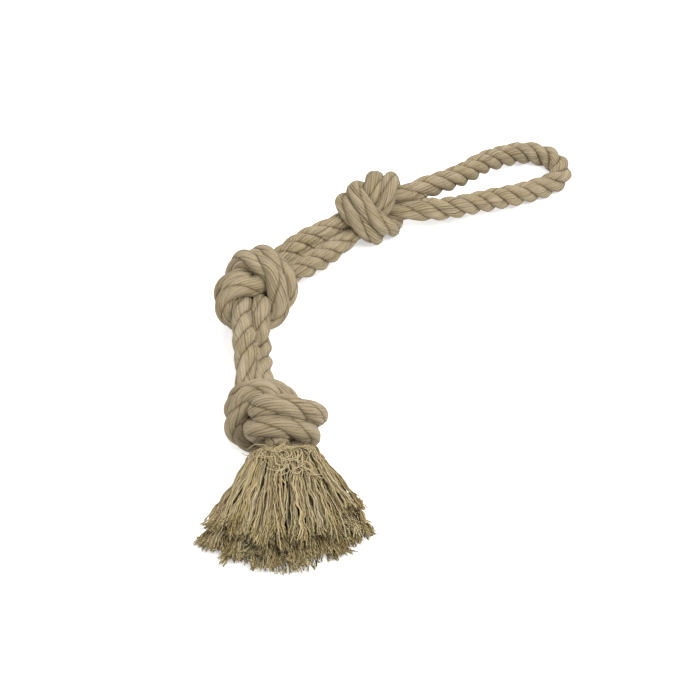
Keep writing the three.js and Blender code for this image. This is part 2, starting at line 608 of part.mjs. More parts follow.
function makeToy() {
  const toy = new THREE.Group();
  const knots = makeKnots();
  const route = makeRoute(knots);
  const stretches = {};
  const addStretch = (name, from, to) => {
    const stretch = ropeStretch(route, from + FACE_GAP / 2, to - FACE_GAP / 2);
    stretches[name] = stretch;
    addMesh(toy, name, stretch.geometry, HEMP);
  };
  const bottom = knots[0].centre;
  const apex = new THREE.Vector3(...TASSEL_SHIFT, 0).add(bottom);

  const gripEnds = ["a", "b"].map((rope, half) => {
    const cuts = knots.map(({ centre, reach }) => lengthsWithin(route, half, centre, reach));
    cuts[0][half] = lengthsWithin(route, half, bottom, END_REACH)[half];
    const inOrder = half === 0 ? cuts : cuts.map(([from, to]) => [to, from]);
    const addBetween = (name, one, two) => addStretch(name, Math.min(one, two), Math.max(one, two));
    knots.forEach(({ name }, i) => addBetween(`${name}_rope_${rope}`, ...cuts[i]));
    addBetween(`lower_span_rope_${rope}`, inOrder[0][1], inOrder[1][0]);
    addBetween(`upper_span_rope_${rope}`, inOrder[1][1], inOrder[2][0]);
    const gripEnd = lengthsWithin(route, half, knots[2].centre, LEG_REACH)[half === 0 ? 1 : 0];
    addBetween(`loop_leg_${rope}`, inOrder[2][1], gripEnd);
    const end = route.at(inOrder[0][0]);
    if (half === 0) end.forward.negate();
    addFrayedEnd(toy, apex, rope, end, half === 0 ? UPPER_STRANDS : LOWER_STRANDS, 1 - half);
    return gripEnd;
  });
  addStretch("handle_loop", ...gripEnds);

  for (const { name } of knots) {
    const [a, b] = ["a", "b"].map((rope) => [stretches[`${name}_rope_${rope}`]]);
    const gaps = [leastGap(a, a), leastGap(b, b), leastGap(a, b)].map((gap) => gap.toFixed(2));
    console.log(`${name}: least gap of a ${gaps[0]}, of b ${gaps[1]}, between them ${gaps[2]} mm`);
  }
  const all = Object.values(stretches);
  console.log(`whole rope: least gap ${leastGap(all, all).toFixed(2)} mm`);

  // The origin is below the middle of the toy's bounding box, on the floor
  const middle = new THREE.Box3().setFromObject(toy).getCenter(new THREE.Vector3());
  toy.position.set(-middle.x, -middle.y, 0);
  return toy;
}

export default makeToy();
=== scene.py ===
"""Rope dog toy: twisted hemp rope, three knots and a frayed tassel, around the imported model."""

import json
import math

import bpy
import numpy as np
from mathutils import Matrix, Vector

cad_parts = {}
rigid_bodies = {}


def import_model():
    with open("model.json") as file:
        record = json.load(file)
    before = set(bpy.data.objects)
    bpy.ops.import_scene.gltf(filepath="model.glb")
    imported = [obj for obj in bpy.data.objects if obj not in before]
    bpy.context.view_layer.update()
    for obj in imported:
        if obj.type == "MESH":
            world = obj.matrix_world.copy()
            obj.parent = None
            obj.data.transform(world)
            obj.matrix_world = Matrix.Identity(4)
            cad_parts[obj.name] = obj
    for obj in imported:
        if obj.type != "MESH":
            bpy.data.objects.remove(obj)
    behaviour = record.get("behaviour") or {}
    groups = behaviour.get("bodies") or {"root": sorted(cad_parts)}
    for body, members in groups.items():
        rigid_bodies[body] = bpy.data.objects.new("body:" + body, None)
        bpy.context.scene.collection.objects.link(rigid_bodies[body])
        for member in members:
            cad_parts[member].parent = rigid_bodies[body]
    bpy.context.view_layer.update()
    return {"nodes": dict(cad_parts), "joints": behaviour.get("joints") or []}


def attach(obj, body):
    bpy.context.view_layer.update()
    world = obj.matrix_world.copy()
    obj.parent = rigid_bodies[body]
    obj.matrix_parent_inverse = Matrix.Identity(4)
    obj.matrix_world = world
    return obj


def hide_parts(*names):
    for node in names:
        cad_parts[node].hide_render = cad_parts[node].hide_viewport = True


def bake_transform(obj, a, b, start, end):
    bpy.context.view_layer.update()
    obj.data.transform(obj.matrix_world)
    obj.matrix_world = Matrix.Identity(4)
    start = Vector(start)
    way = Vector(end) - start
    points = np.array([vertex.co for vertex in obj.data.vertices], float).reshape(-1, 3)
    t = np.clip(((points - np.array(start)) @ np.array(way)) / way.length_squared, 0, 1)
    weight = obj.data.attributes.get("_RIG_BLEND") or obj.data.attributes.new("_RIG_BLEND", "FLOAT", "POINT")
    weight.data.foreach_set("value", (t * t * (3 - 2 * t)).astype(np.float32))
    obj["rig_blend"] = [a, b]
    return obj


bl_info = {
    "name": "Rope dog toy",
    "version": (1, 0, 0),
    "blender": (4, 5, 0),
    "location": "3D View > Sidebar > Rope toy",
    "description": "Dresses a knotted rope toy in twisted hemp rope and frayed yarn",
    "category": "Add Mesh",
}

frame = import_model()

MM = 0.001
TINY = 1e-9
TURN = 2 * math.pi
GOLDEN_ANGLE = TURN * (3 - math.sqrt(5)) / 2
UP = np.array([0.0, 0.0, 1.0])
PHOTO_SIDE = 680  # pixels

# One length of rope, from one frayed end round the loop to the other
TO_THE_LOOP = (
    "bottom_knot_rope",
    "lower_span_rope",
    "middle_knot_rope",
    "upper_span_rope",
    "handle_knot_rope",
    "loop_leg",
)
ROPE_ORDER = (
    *[f"{kind}_a" for kind in TO_THE_LOOP],
    "handle_loop",
    *[f"{kind}_b" for kind in reversed(TO_THE_LOOP)],
)
# Stretches that bend across two joints: the bodies from the middle knot outwards
BENDING = {
    "lower_span_rope": ("middle_knot", "lower_span", "bottom_knot"),
    "upper_span_rope": ("middle_knot", "upper_span", "handle_knot"),
    "loop_leg": ("handle_knot", "loop_legs", "loop_grip"),
}
STIFF_END_SHARE = 0.04  # of a half, at each end, that doesn't bend
BODY_OF = {
    "bottom_knot_rope": "bottom_knot",
    "middle_knot_rope": "middle_knot",
    "handle_knot_rope": "handle_knot",
    "handle_loop": "loop_grip",
}

# The tassel's fan, as in the solids, in metres and degrees
FAN_APEX = np.array([-100.25, -108.12]) * MM
FAN_HEADING = -89.5
FAN_SPREAD = 65.0
FAN_LENGTH = 146 * MM
FAN_START = 55 * MM
FAN_START_HEIGHT = 32 * MM
FAN_START_THICKNESS = 26 * MM
FAN_END_THICKNESS = 21 * MM
FAN_EDGE_DROP = 6 * MM
FAN_LANDING = 0.42
FAN_BULGE = 3.5  # of its right edge, in degrees
FAN_DROP = 0.85
FAN_REACH = 1.1  # threads can reach a little past the fan's end
CELL_LENGTHS = (0.96, 0.98, 1.0, 0.985, 0.955, 0.885)
UPPER_SHORTER = 18 * MM
ROOT_BEND_SHARE = 0.9  # of a strand's root, over which it bends
TUFT_BEND = 26 * MM  # of a tuft, from its root, over which it bends
TUFT_AHEAD = 6  # the ring that gives a tuft's direction there
TUFT_SEED, CURLS_SEED, STRAYS_SEED = 100, 77, 78
WAVE_SWAY, SWAY_LENGTH = 0.8, 23 * MM  # how much, and how slowly, threads' waves vary
FLOOR_GAP = 0.02 * MM  # threads never reach the floor
# Where each strand leaves the rope's end, in degrees, and the pair of cells it opens into
STRANDS = {
    "a1": (180, 0),
    "a2": (60, 1),
    "a3": (300, 2),
    "b1": (150, 0),
    "b2": (270, 1),
    "b3": (30, 2),
}

# Where the middle knot is, and where the photo shows it
KNOT_CENTRE = (-124.6 * MM, 44.7 * MM, 29.1 * MM)
KNOT_PIXEL = (255, 290)
SENSOR = 36  # millimetres
FLOOR_REACH = 6.0
FLOOR_GLOW = 0.45  # that the camera sees, and the toy isn't lit by
# Name, place in metres, size, and share of the main lamp's power
LAMPS = (
    ("key_lamp", (0.9, -0.7, 1.9), 1.3, 1.0),
    ("fill_lamp", (-1.4, -0.9, 1.5), 1.6, 0.35),
    ("back_lamp", (0.1, 1.6, 1.4), 1.4, 0.42),
)


# Shader maths


class Shader:
    """One socket of a material's nodes. Arithmetic on it adds Math nodes."""

    def __init__(self, tree, socket=None):
        self.tree = tree
        self.socket = socket

    def node(self, kind, settings=(), sockets=(), output=0):
        """Adds a node: first its settings, then the values or links of its sockets."""
        made = self.tree.nodes.new(kind)
        for name, value in dict(settings).items():
            setattr(made, name, value)
        for name, value in dict(sockets).items():
            if isinstance(value, Shader):
                self.tree.links.new(value.socket, made.inputs[name])
            else:
                made.inputs[name].default_value = value
        return Shader(self.tree, made.outputs[output] if made.outputs else None)

    def output(self, which):
        """Another output of the node that this socket is on."""
        return Shader(self.tree, self.socket.node.outputs[which])

    def maths(self, operation, *values):
        sockets = dict(enumerate(values))
        return self.node("ShaderNodeMath", {"operation": operation}, sockets)

    def __add__(self, other):
        return self.maths("ADD", self, other)

    __radd__ = __add__

    def __mul__(self, other):
        return self.maths("MULTIPLY", self, other)

    __rmul__ = __mul__

    def __sub__(self, other):
        return self.maths("SUBTRACT", self, other)

    def __rsub__(self, other):
        return self.maths("SUBTRACT", other, self)

    def clamped(self):
        return self.node("ShaderNodeClamp", {}, {0: self})

    def between(self, low, high):
        """0 where this is low, 1 where it is high, and even between them."""
        return self.node("ShaderNodeMapRange", {}, {0: self, 1: low, 2: high})

    def mix(self, first, second):
        """first where this is 0, second where it is 1; colours."""
        settings = {"data_type": "RGBA"}
        return self.node("ShaderNodeMix", settings, {0: self, 6: first, 7: second}, 2)

    def tinted(self, amount, colour):
        """This colour, multiplied by another one as far as amount says."""
        settings = {"data_type": "RGBA", "blend_type": "MULTIPLY"}
        return self.node("ShaderNodeMix", settings, {0: amount, 6: self, 7: colour}, 2)


def new_material(name):
    material = bpy.data.materials.new(name)
    material.use_nodes = True
    material.node_tree.nodes.clear()
    return material, Shader(material.node_tree)


def background_rays(shader):
    """1 for the rays that show the background: seen straight, mirrored or through glass."""
    path = shader.node("ShaderNodeLightPath")
    kinds = ("Is Camera Ray", "Is Glossy Ray", "Is Transmission Ray")
    straight, mirrored, through = (path.output(kind) for kind in kinds)
    return (straight + mirrored + through).clamped()


def point_vector(shader, name):
    """The three numbers of a vector that the mesh's points carry."""
    vector = shader.node("ShaderNodeAttribute", {"attribute_name": name}, output=1)
    parts = shader.node("ShaderNodeSeparateXYZ", {}, {0: vector})
    return [parts.output(i) for i in range(3)]


def point_number(shader, name):
    return shader.node("ShaderNodeAttribute", {"attribute_name": name}, output=2)


def noise(shader, place, detail, roughness=0.5):
    """Noise at a place of three numbers, which say how closely it repeats each way."""
    vector = shader.node("ShaderNodeCombineXYZ", {}, dict(enumerate(place)))
    sockets = {"Vector": vector, "Scale": 1.0, "Detail": detail, "Roughness": roughness}
    return shader.node("ShaderNodeTexNoise", {}, sockets)


def matt_surface(shader, colour, roughness, relief, bump, gloss, sheen):
    """A matt surface. bump is its strength and depth, sheen its weight and roughness."""
    strength, depth = bump
    weight, spread = sheen
    normal = shader.node(
        "ShaderNodeBump", {}, {"Strength": strength, "Distance": depth, "Height": relief}
    )
    surface = shader.node(
        "ShaderNodeBsdfPrincipled", {},
        {
            "Base Color": colour,
            "Roughness": roughness.clamped(),
            "Normal": normal,
            "Specular IOR Level": gloss,
            "Sheen Weight": weight,
            "Sheen Roughness": spread,
        },
    )
    shader.node("ShaderNodeOutputMaterial", {}, {"Surface": surface})


def colour4(colour):
    return (*colour[:3], 1.0)


# The rope's route, from the solids

LEAST_AREA = 1e-30
SAME_DIRECTION = 0.99999  # cosine
SAME_PLANE = 0.02 * MM
UPRIGHT = 0.9  # a rope's end never faces straight up or down
ON_FLOOR = 0.01 * MM
RING_TOLERANCE = 0.08 * MM


def welded(node):
    """A solid's points, each once, and its triangles."""
    mesh = frame["nodes"][node].data
    mesh.calc_loop_triangles()
    points = np.empty(3 * len(mesh.vertices))
    mesh.vertices.foreach_get("co", points)
    corners = np.empty(3 * len(mesh.loop_triangles), int)
    mesh.loop_triangles.foreach_get("vertices", corners)
    keys = np.round(points.reshape(-1, 3) / (MM * MM)).astype(int)
    _, first, places = np.unique(keys, axis=0, return_index=True, return_inverse=True)
    return points.reshape(-1, 3)[first], places.ravel()[corners].reshape(-1, 3)


def fit_circle(points):
    """Centre, radius and normal of the circle through points that lie on one."""
    mean = points.mean(0)
    _, _, axes = np.linalg.svd(points - mean)
    flat = (points - mean) @ axes[:2].T
    rows = np.column_stack([2 * flat, np.ones(len(flat))])
    solved = np.linalg.lstsq(rows, (flat**2).sum(1), rcond=None)[0]
    centre = mean + solved[:2] @ axes[:2]
    return centre, math.sqrt(solved[2] + solved[:2] @ solved[:2]), axes[2]


def end_ring(points, triangles, sides):
    """The corners of a tube's flat end: the only flat face that has this many corners."""
    a, b, c = (points[triangles[:, i]] for i in range(3))
    normals = np.cross(b - a, c - a)
    normals /= np.linalg.norm(normals, axis=1)[:, None] + LEAST_AREA
    offsets = (normals * a).sum(1)
    for normal, offset in zip(normals, offsets):
        flat = (normals @ normal > SAME_DIRECTION) & (abs(offsets - offset) < SAME_PLANE)
        ring = np.unique(triangles[flat])
        if flat.sum() == sides - 2 and len(ring) == sides and abs(normal[2]) < UPRIGHT:
            return ring
    raise RuntimeError("a stretch of rope has no flat end")


def tube_rings(node, sides=10):
    """Centres and radii of a stretch's rings, from one end to the other."""
    points, triangles = welded(node)
    links = [set() for _ in points]
    for a, b, c in triangles:
        links[a] |= {b, c}
        links[b] |= {a, c}
        links[c] |= {a, b}
    grounded = set(np.flatnonzero(points[:, 2] < ON_FLOOR))
    ring = set(end_ring(points, triangles, sides))
    used = set(ring) | grounded
    centre, radius, _ = fit_circle(points[list(ring)])
    found = [(centre, radius)]
    while True:
        near = sorted({n for corner in ring for n in links[corner]} - used)
        if len(near) < 4:
            return np.array([f[0] for f in found]), np.array([f[1] for f in found])
        centre, radius, normal = fit_circle(points[near])
        away = points - centre
        off_plane = abs(away @ normal)
        off_circle = abs(np.linalg.norm(away, axis=1) - radius)
        on = np.flatnonzero((off_plane < RING_TOLERANCE) & (off_circle < RING_TOLERANCE))
        ring = (set(on) | set(near)) - used
        used |= ring
        found.append((centre, radius))


def chained(stretches):
    """The stretches turned so that each one starts where the one before it ends."""
    first, following = stretches[0][0], stretches[1][0]
    gaps = np.linalg.norm(following[[0, -1], None] - first[None, [0, -1]], axis=2)
    meet = first[0] if gaps[:, 0].min() > gaps[:, 1].min() else first[-1]
    turned = []
    for centres, radii in stretches:
        if np.linalg.norm(centres[-1] - meet) < np.linalg.norm(centres[0] - meet):
            centres, radii = centres[::-1], radii[::-1]
        turned.append((centres, radii))
        meet = centres[-1]
    return turned


def spline(known, values, wanted):
    """Values at the wanted places, on the smoothest curve through the known ones."""
    steps = np.diff(known)[:, None]
    slopes = np.diff(values, axis=0) / steps
    count = len(known)
    system = np.eye(count)
    right = np.zeros_like(values)
    for i in range(1, count - 1):
        system[i, i - 1 : i + 2] = (
            steps[i - 1, 0],
            2 * (steps[i - 1, 0] + steps[i, 0]),
            steps[i, 0],
        )
        right[i] = 6 * (slopes[i] - slopes[i - 1])
    bends = np.linalg.solve(system, right)
    i = np.clip(np.searchsorted(known, wanted) - 1, 0, count - 2)
    width = steps[i]
    after = (wanted - known[i])[:, None]
    before = width - after
    return (
        (bends[i] * before**3 + bends[i + 1] * after**3) / (6 * width)
        + (values[i] / width - bends[i] * width / 6) * before
        + (values[i + 1] / width - bends[i + 1] * width / 6) * after
    )


def unit(vectors):
    return vectors / np.linalg.norm(vectors, axis=-1, keepdims=True)


def places_along(points):
    """How far along its line each point is, for one line of points or several."""
    steps = np.linalg.norm(np.diff(points, axis=-2), axis=-1)
    return np.concatenate([np.zeros((*steps.shape[:-1], 1)), np.cumsum(steps, -1)], -1)


def eased(share):
    """From 0 to 1 like the share, with a soft start and end."""
    return share * share * (3 - 2 * share)


def untwisted(forward, first):
    """Directions square to forward that turn along with it and never around it."""
    found = np.empty_like(forward)
    found[..., 0, :] = unit(first)
    for i in range(1, forward.shape[-2]):
        ahead, before = forward[..., i, :], found[..., i - 1, :]
        found[..., i, :] = unit(before - ahead * (before * ahead).sum(-1, keepdims=True))
    return found


class Route:
    """The whole rope's centreline, finely sampled, with directions that don't twist."""

    def __init__(self, step):
        points, radii, cuts = [], [], [0]
        for centres, widths in chained([tube_rings(name) for name in ROPE_ORDER]):
            if points:
                # Stretches meet halfway between their ends
                points[-1] = (points[-1] + centres[0]) / 2
                cuts.append(len(points) - 1)
                centres, widths = centres[1:], widths[1:]
            points.extend(centres)
            radii.extend(widths)
        points, radii = np.array(points), np.array(radii)[:, None]
        places = places_along(points)
        self.cuts = places[[*cuts, -1]]
        self.count = int(round(places[-1] / step)) + 1
        self.places = np.linspace(0, places[-1], self.count)
        self.step = self.places[1]
        self.points = spline(places, points, self.places)
        self.radii = spline(places, radii, self.places)[:, 0]
        self.forward = unit(np.gradient(self.points, axis=0))
        self.out = untwisted(self.forward, UP - self.forward[0] * self.forward[0][2])
        self.side = np.cross(self.forward, self.out)

    def index(self, place):
        return int(round(place / self.step))


# Meshes


def new_mesh(name, points, quads, ends=(), values=()):
    """A mesh object from arrays: quads, polygons that close its ends, and point values."""
    mesh = bpy.data.meshes.new(name)
    quads = np.asarray(quads, np.int32).reshape(-1, 4)
    ends = [np.asarray(end, np.int32) for end in ends]
    loops = np.concatenate([quads.ravel(), *ends]) if ends else quads.ravel()
    sizes = np.concatenate([np.full(len(quads), 4), [len(end) for end in ends]]).astype(int)
    mesh.vertices.add(len(points))
    mesh.vertices.foreach_set("co", np.asarray(points, np.float32).ravel())
    mesh.loops.add(len(loops))
    mesh.loops.foreach_set("vertex_index", loops)
    mesh.polygons.add(len(sizes))
    mesh.polygons.foreach_set("loop_start", np.concatenate([[0], np.cumsum(sizes)[:-1]]))
    mesh.update(calc_edges=True)
    mesh.polygons.foreach_set("use_smooth", np.ones(len(sizes), bool))
    for key, value in dict(values).items():
        value = np.asarray(value, np.float32)
        kind, field = ("FLOAT_VECTOR", "vector") if value.ndim == 2 else ("FLOAT", "value")
        attribute = mesh.attributes.new(key, kind, "POINT")
        attribute.data.foreach_set(field, value.ravel())
    mesh.validate()
    made = bpy.data.objects.new(name, mesh)
    bpy.context.scene.collection.objects.link(made)
    return made


def tube_faces(tubes, rings, sides):
    """Faces of closed tubes whose points count by tube, ring and side."""
    base = np.arange(tubes * rings * sides).reshape(tubes, rings, sides)
    here, there = base[:, :-1], base[:, 1:]
    quads = np.stack(
        [here, np.roll(here, -1, 2), np.roll(there, -1, 2), there], axis=-1
    )
    ends = [*base[:, 0, ::-1], *base[:, -1]]
    return quads.reshape(-1, 4), ends


def dressed(made, material, slot, *nodes):
    made.data.materials.append(material)
    if nodes:
        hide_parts(*nodes)
    return made


# Sizes and colours


class RopeSettings(bpy.types.PropertyGroup):
    lay_length: bpy.props.FloatProperty(
        name="Lay length", description="Length of rope in which a strand goes once round",
        default=47 * MM, unit="LENGTH",
    )
    opened: bpy.props.FloatProperty(
        name="Opened", description="Share of its twist that the rope loses in a knot", default=0.42,
        subtype="FACTOR",
    )
    swell: bpy.props.FloatProperty(
        name="Swell",
        description="How much wider the hairy rope is than its solid, so that passes touch",
        default=0.5 * MM, unit="LENGTH",
    )
    bulge: bpy.props.FloatProperty(
        name="Bulge",
        description="How much more it swells in the knots, where passes press on each other",
        default=1.1 * MM, unit="LENGTH",
    )
    yarns: bpy.props.IntProperty(
        name="Yarns", description="Yarns around each strand", default=15, min=3
    )
    groove: bpy.props.FloatProperty(
        name="Groove", description="Depth between neighbouring yarns", default=0.38 * MM,
        unit="LENGTH",
    )
    unevenness: bpy.props.FloatProperty(
        name="Unevenness", description="How much yarns differ in height", default=0.22 * MM,
        unit="LENGTH",
    )
    step: bpy.props.FloatProperty(
        name="Step", description="Distance between rings of the rope's surface", default=1.05 * MM,
        unit="LENGTH",
    )
    crown: bpy.props.FloatVectorProperty(
        name="Crown", description="Hemp where yarns stand out", subtype="COLOR",
        default=(0.334, 0.279, 0.184), size=3,
    )
    # Valley is painted shade: the colour that the grooves between yarns and the creases between strands are
    # darkened towards
    valley: bpy.props.FloatVectorProperty(
        name="Valley", description="Hemp deep between yarns", subtype="COLOR",
        default=(0.085, 0.057, 0.022), size=3,
    )


class TasselSettings(bpy.types.PropertyGroup):
    threads: bpy.props.IntProperty(
        name="Threads", description="Threads in each tuft", default=190, min=3
    )
    thread: bpy.props.FloatProperty(
        name="Thread", description="Diameter of a thread", default=0.82 * MM, unit="LENGTH"
    )
    locks: bpy.props.IntProperty(
        name="Locks", description="Locks that a tuft's threads gather in", default=9, min=1
    )
    curls: bpy.props.IntProperty(
        name="Curls", description="Loose curls over the tassel's root", default=54, min=0
    )
    strays: bpy.props.IntProperty(
        name="Strays", description="Stray threads on top of the tassel", default=22, min=0
    )
    light: bpy.props.FloatVectorProperty(
        name="Light", description="Light thread", subtype="COLOR", default=(0.44, 0.37, 0.228),
        size=3,
    )
    dark: bpy.props.FloatVectorProperty(
        name="Dark", description="Dark thread", subtype="COLOR", default=(0.1, 0.067, 0.02), size=3
    )
    tip: bpy.props.FloatVectorProperty(
        name="Tip", description="Frayed ends", subtype="COLOR", default=(0.232, 0.19, 0.062), size=3
    )


class StageSettings(bpy.types.PropertyGroup):
    distance: bpy.props.FloatProperty(
        name="Camera distance", description="From the camera to the middle knot", default=2.5,
        unit="LENGTH",
    )
    elevation: bpy.props.FloatProperty(
        name="Elevation", description="Of the camera above the floor", default=math.radians(45),
        subtype="ANGLE",
    )
    pixel: bpy.props.FloatProperty(
        name="Pixel", description="Width of one of the photo's pixels at the middle knot",
        default=0.88 * MM, unit="LENGTH",
    )
    floor: bpy.props.FloatVectorProperty(
        name="Floor", description="Floor and backdrop", subtype="COLOR", default=(0.9, 0.9, 0.9),
        size=3,
    )
    sky: bpy.props.FloatProperty(
        name="Sky", description="Strength of the light from all round", default=0.55
    )
    lamp: bpy.props.FloatProperty(
        name="Lamp", description="Power of the main lamp in watts", default=46.0
    )


def toy_settings():
    scene = bpy.context.scene
    return scene.rope_toy_rope, scene.rope_toy_tassel, scene.rope_toy_stage


# Materials


def hemp_material(name, values):
    """Hemp yarn on the rope: streaked along each yarn, with painted shade in the grooves between yarns and
    the creases between strands.
    """
    # Repeats in a millimetre, along and around a strand
    streak_along, streak_around = 0.085, 0.85
    hair_along, hair_around = 0.4, 5.5
    patch_along, patch_around = 0.03, 0.07
    across = 0.33  # how much fibres run across the yarn, as it is twisted too
    cool, warm = (0.91, 0.88, 0.77, 1.0), (1.09, 1.08, 1.10, 1.0)

    material, shader = new_material(name)
    along, around, tone = point_vector(shader, "lay")
    # groove is painted shade: 0 on the yarns' crowns, rising in deep grooves and beside the creases between
    # strands
    groove = point_number(shader, "groove")
    streak = noise(shader, (along * streak_along, around * streak_around, tone * 9), 4.0, 0.75)
    slanted = (along + around * across) * hair_along, (around - along * across) * hair_around
    hair = noise(shader, (*slanted, tone * 17), 2.0)
    patch = noise(shader, (along * patch_along, around * patch_around, 0.0), 2.0)
    # depth adds the painted groove shade to the hemp's own streaks, hairs and tones, and mixes crown towards
    # the painted valley shade
    depth = groove * 0.95 + (0.5 - streak) * 1.5 + (0.5 - hair) * 1.1 + (0.5 - tone) * 0.7
    colour = (depth + 0.1).clamped().mix(colour4(values.crown), colour4(values.valley))
    sunned = ((patch - 0.5) * 2.2 + 0.5).clamped()
    colour = sunned.mix(colour.tinted(1.0, cool), colour.tinted(1.0, warm))
    roughness = 0.97 - streak * 0.22
    relief = streak + hair * 0.7
    matt_surface(shader, colour, roughness, relief, (0.7, 0.35 * MM), 0.18, (0.05, 0.55))
    return material


def frayed_material(name, values):
    """Loose hemp threads: each has its own tone and hue, and its end is frayed."""
    mottle_along, nubs_along = 0.2, 0.9  # repeats in a millimetre
    golden = (1.03, 0.96, 0.80, 1.0)
    olive_from, olive_to = 0.1, 0.7  # shares of the frayed end
    cut_from, cut_to = 0.84, 0.95

    material, shader = new_material(name)
    along, tip, tone = point_vector(shader, "lay")
    mottle = noise(shader, (along * mottle_along, tone * 211, tone * 87), 3.0)
    shade = (tone * 0.9 + (mottle - 0.5) * 0.8).clamped()
    colour = shade.mix(colour4(values.light), colour4(values.dark))
    colour = colour.tinted(point_number(shader, "hue"), golden)
    # Olive towards the end, and pale again where the thread is cut
    olive = tip.between(olive_from, olive_to) * (mottle * 1.8 - 0.35)
    ends = (olive - tip.between(cut_from, cut_to)).clamped()
    colour = ends.mix(colour, colour4(values.tip))
    nubs = noise(shader, (along * nubs_along, tone * 53, 0.0), 2.0)
    roughness = 0.95 - mottle * 0.2
    matt_surface(shader, colour, roughness, nubs, (0.5, 0.25 * MM), 0.2, (0.04, 0.5))
    return material


# Twisted rope


def between_knots(knots, count, reach):
    """Values at count samples that pass softly from knot to knot, reach samples apart."""
    places = np.arange(count) / reach
    i = places.astype(int)
    share = eased(places - i)[:, None]
    return knots[..., i, :] * (1 - share) + knots[..., i + 1, :] * share


def slow_noise(rng, count, reach):
    """Random values, mostly from -1 to 1, that change slowly over reach samples."""
    return between_knots(rng.normal(size=(count // reach + 4, 1)) * 0.6, count, reach)[:, 0]


def wander(rng, lines, count, reach):
    """Slow random values for lines of points, in three directions."""
    return between_knots(rng.normal(size=(lines, count // reach + 4, 3)), count, reach)


def smoothed(values, reach):
    """Running average over reach samples to each side."""
    padded = np.pad(values, reach, mode="edge")
    return np.convolve(padded, np.full(2 * reach + 1, 1 / (2 * reach + 1)), "valid")


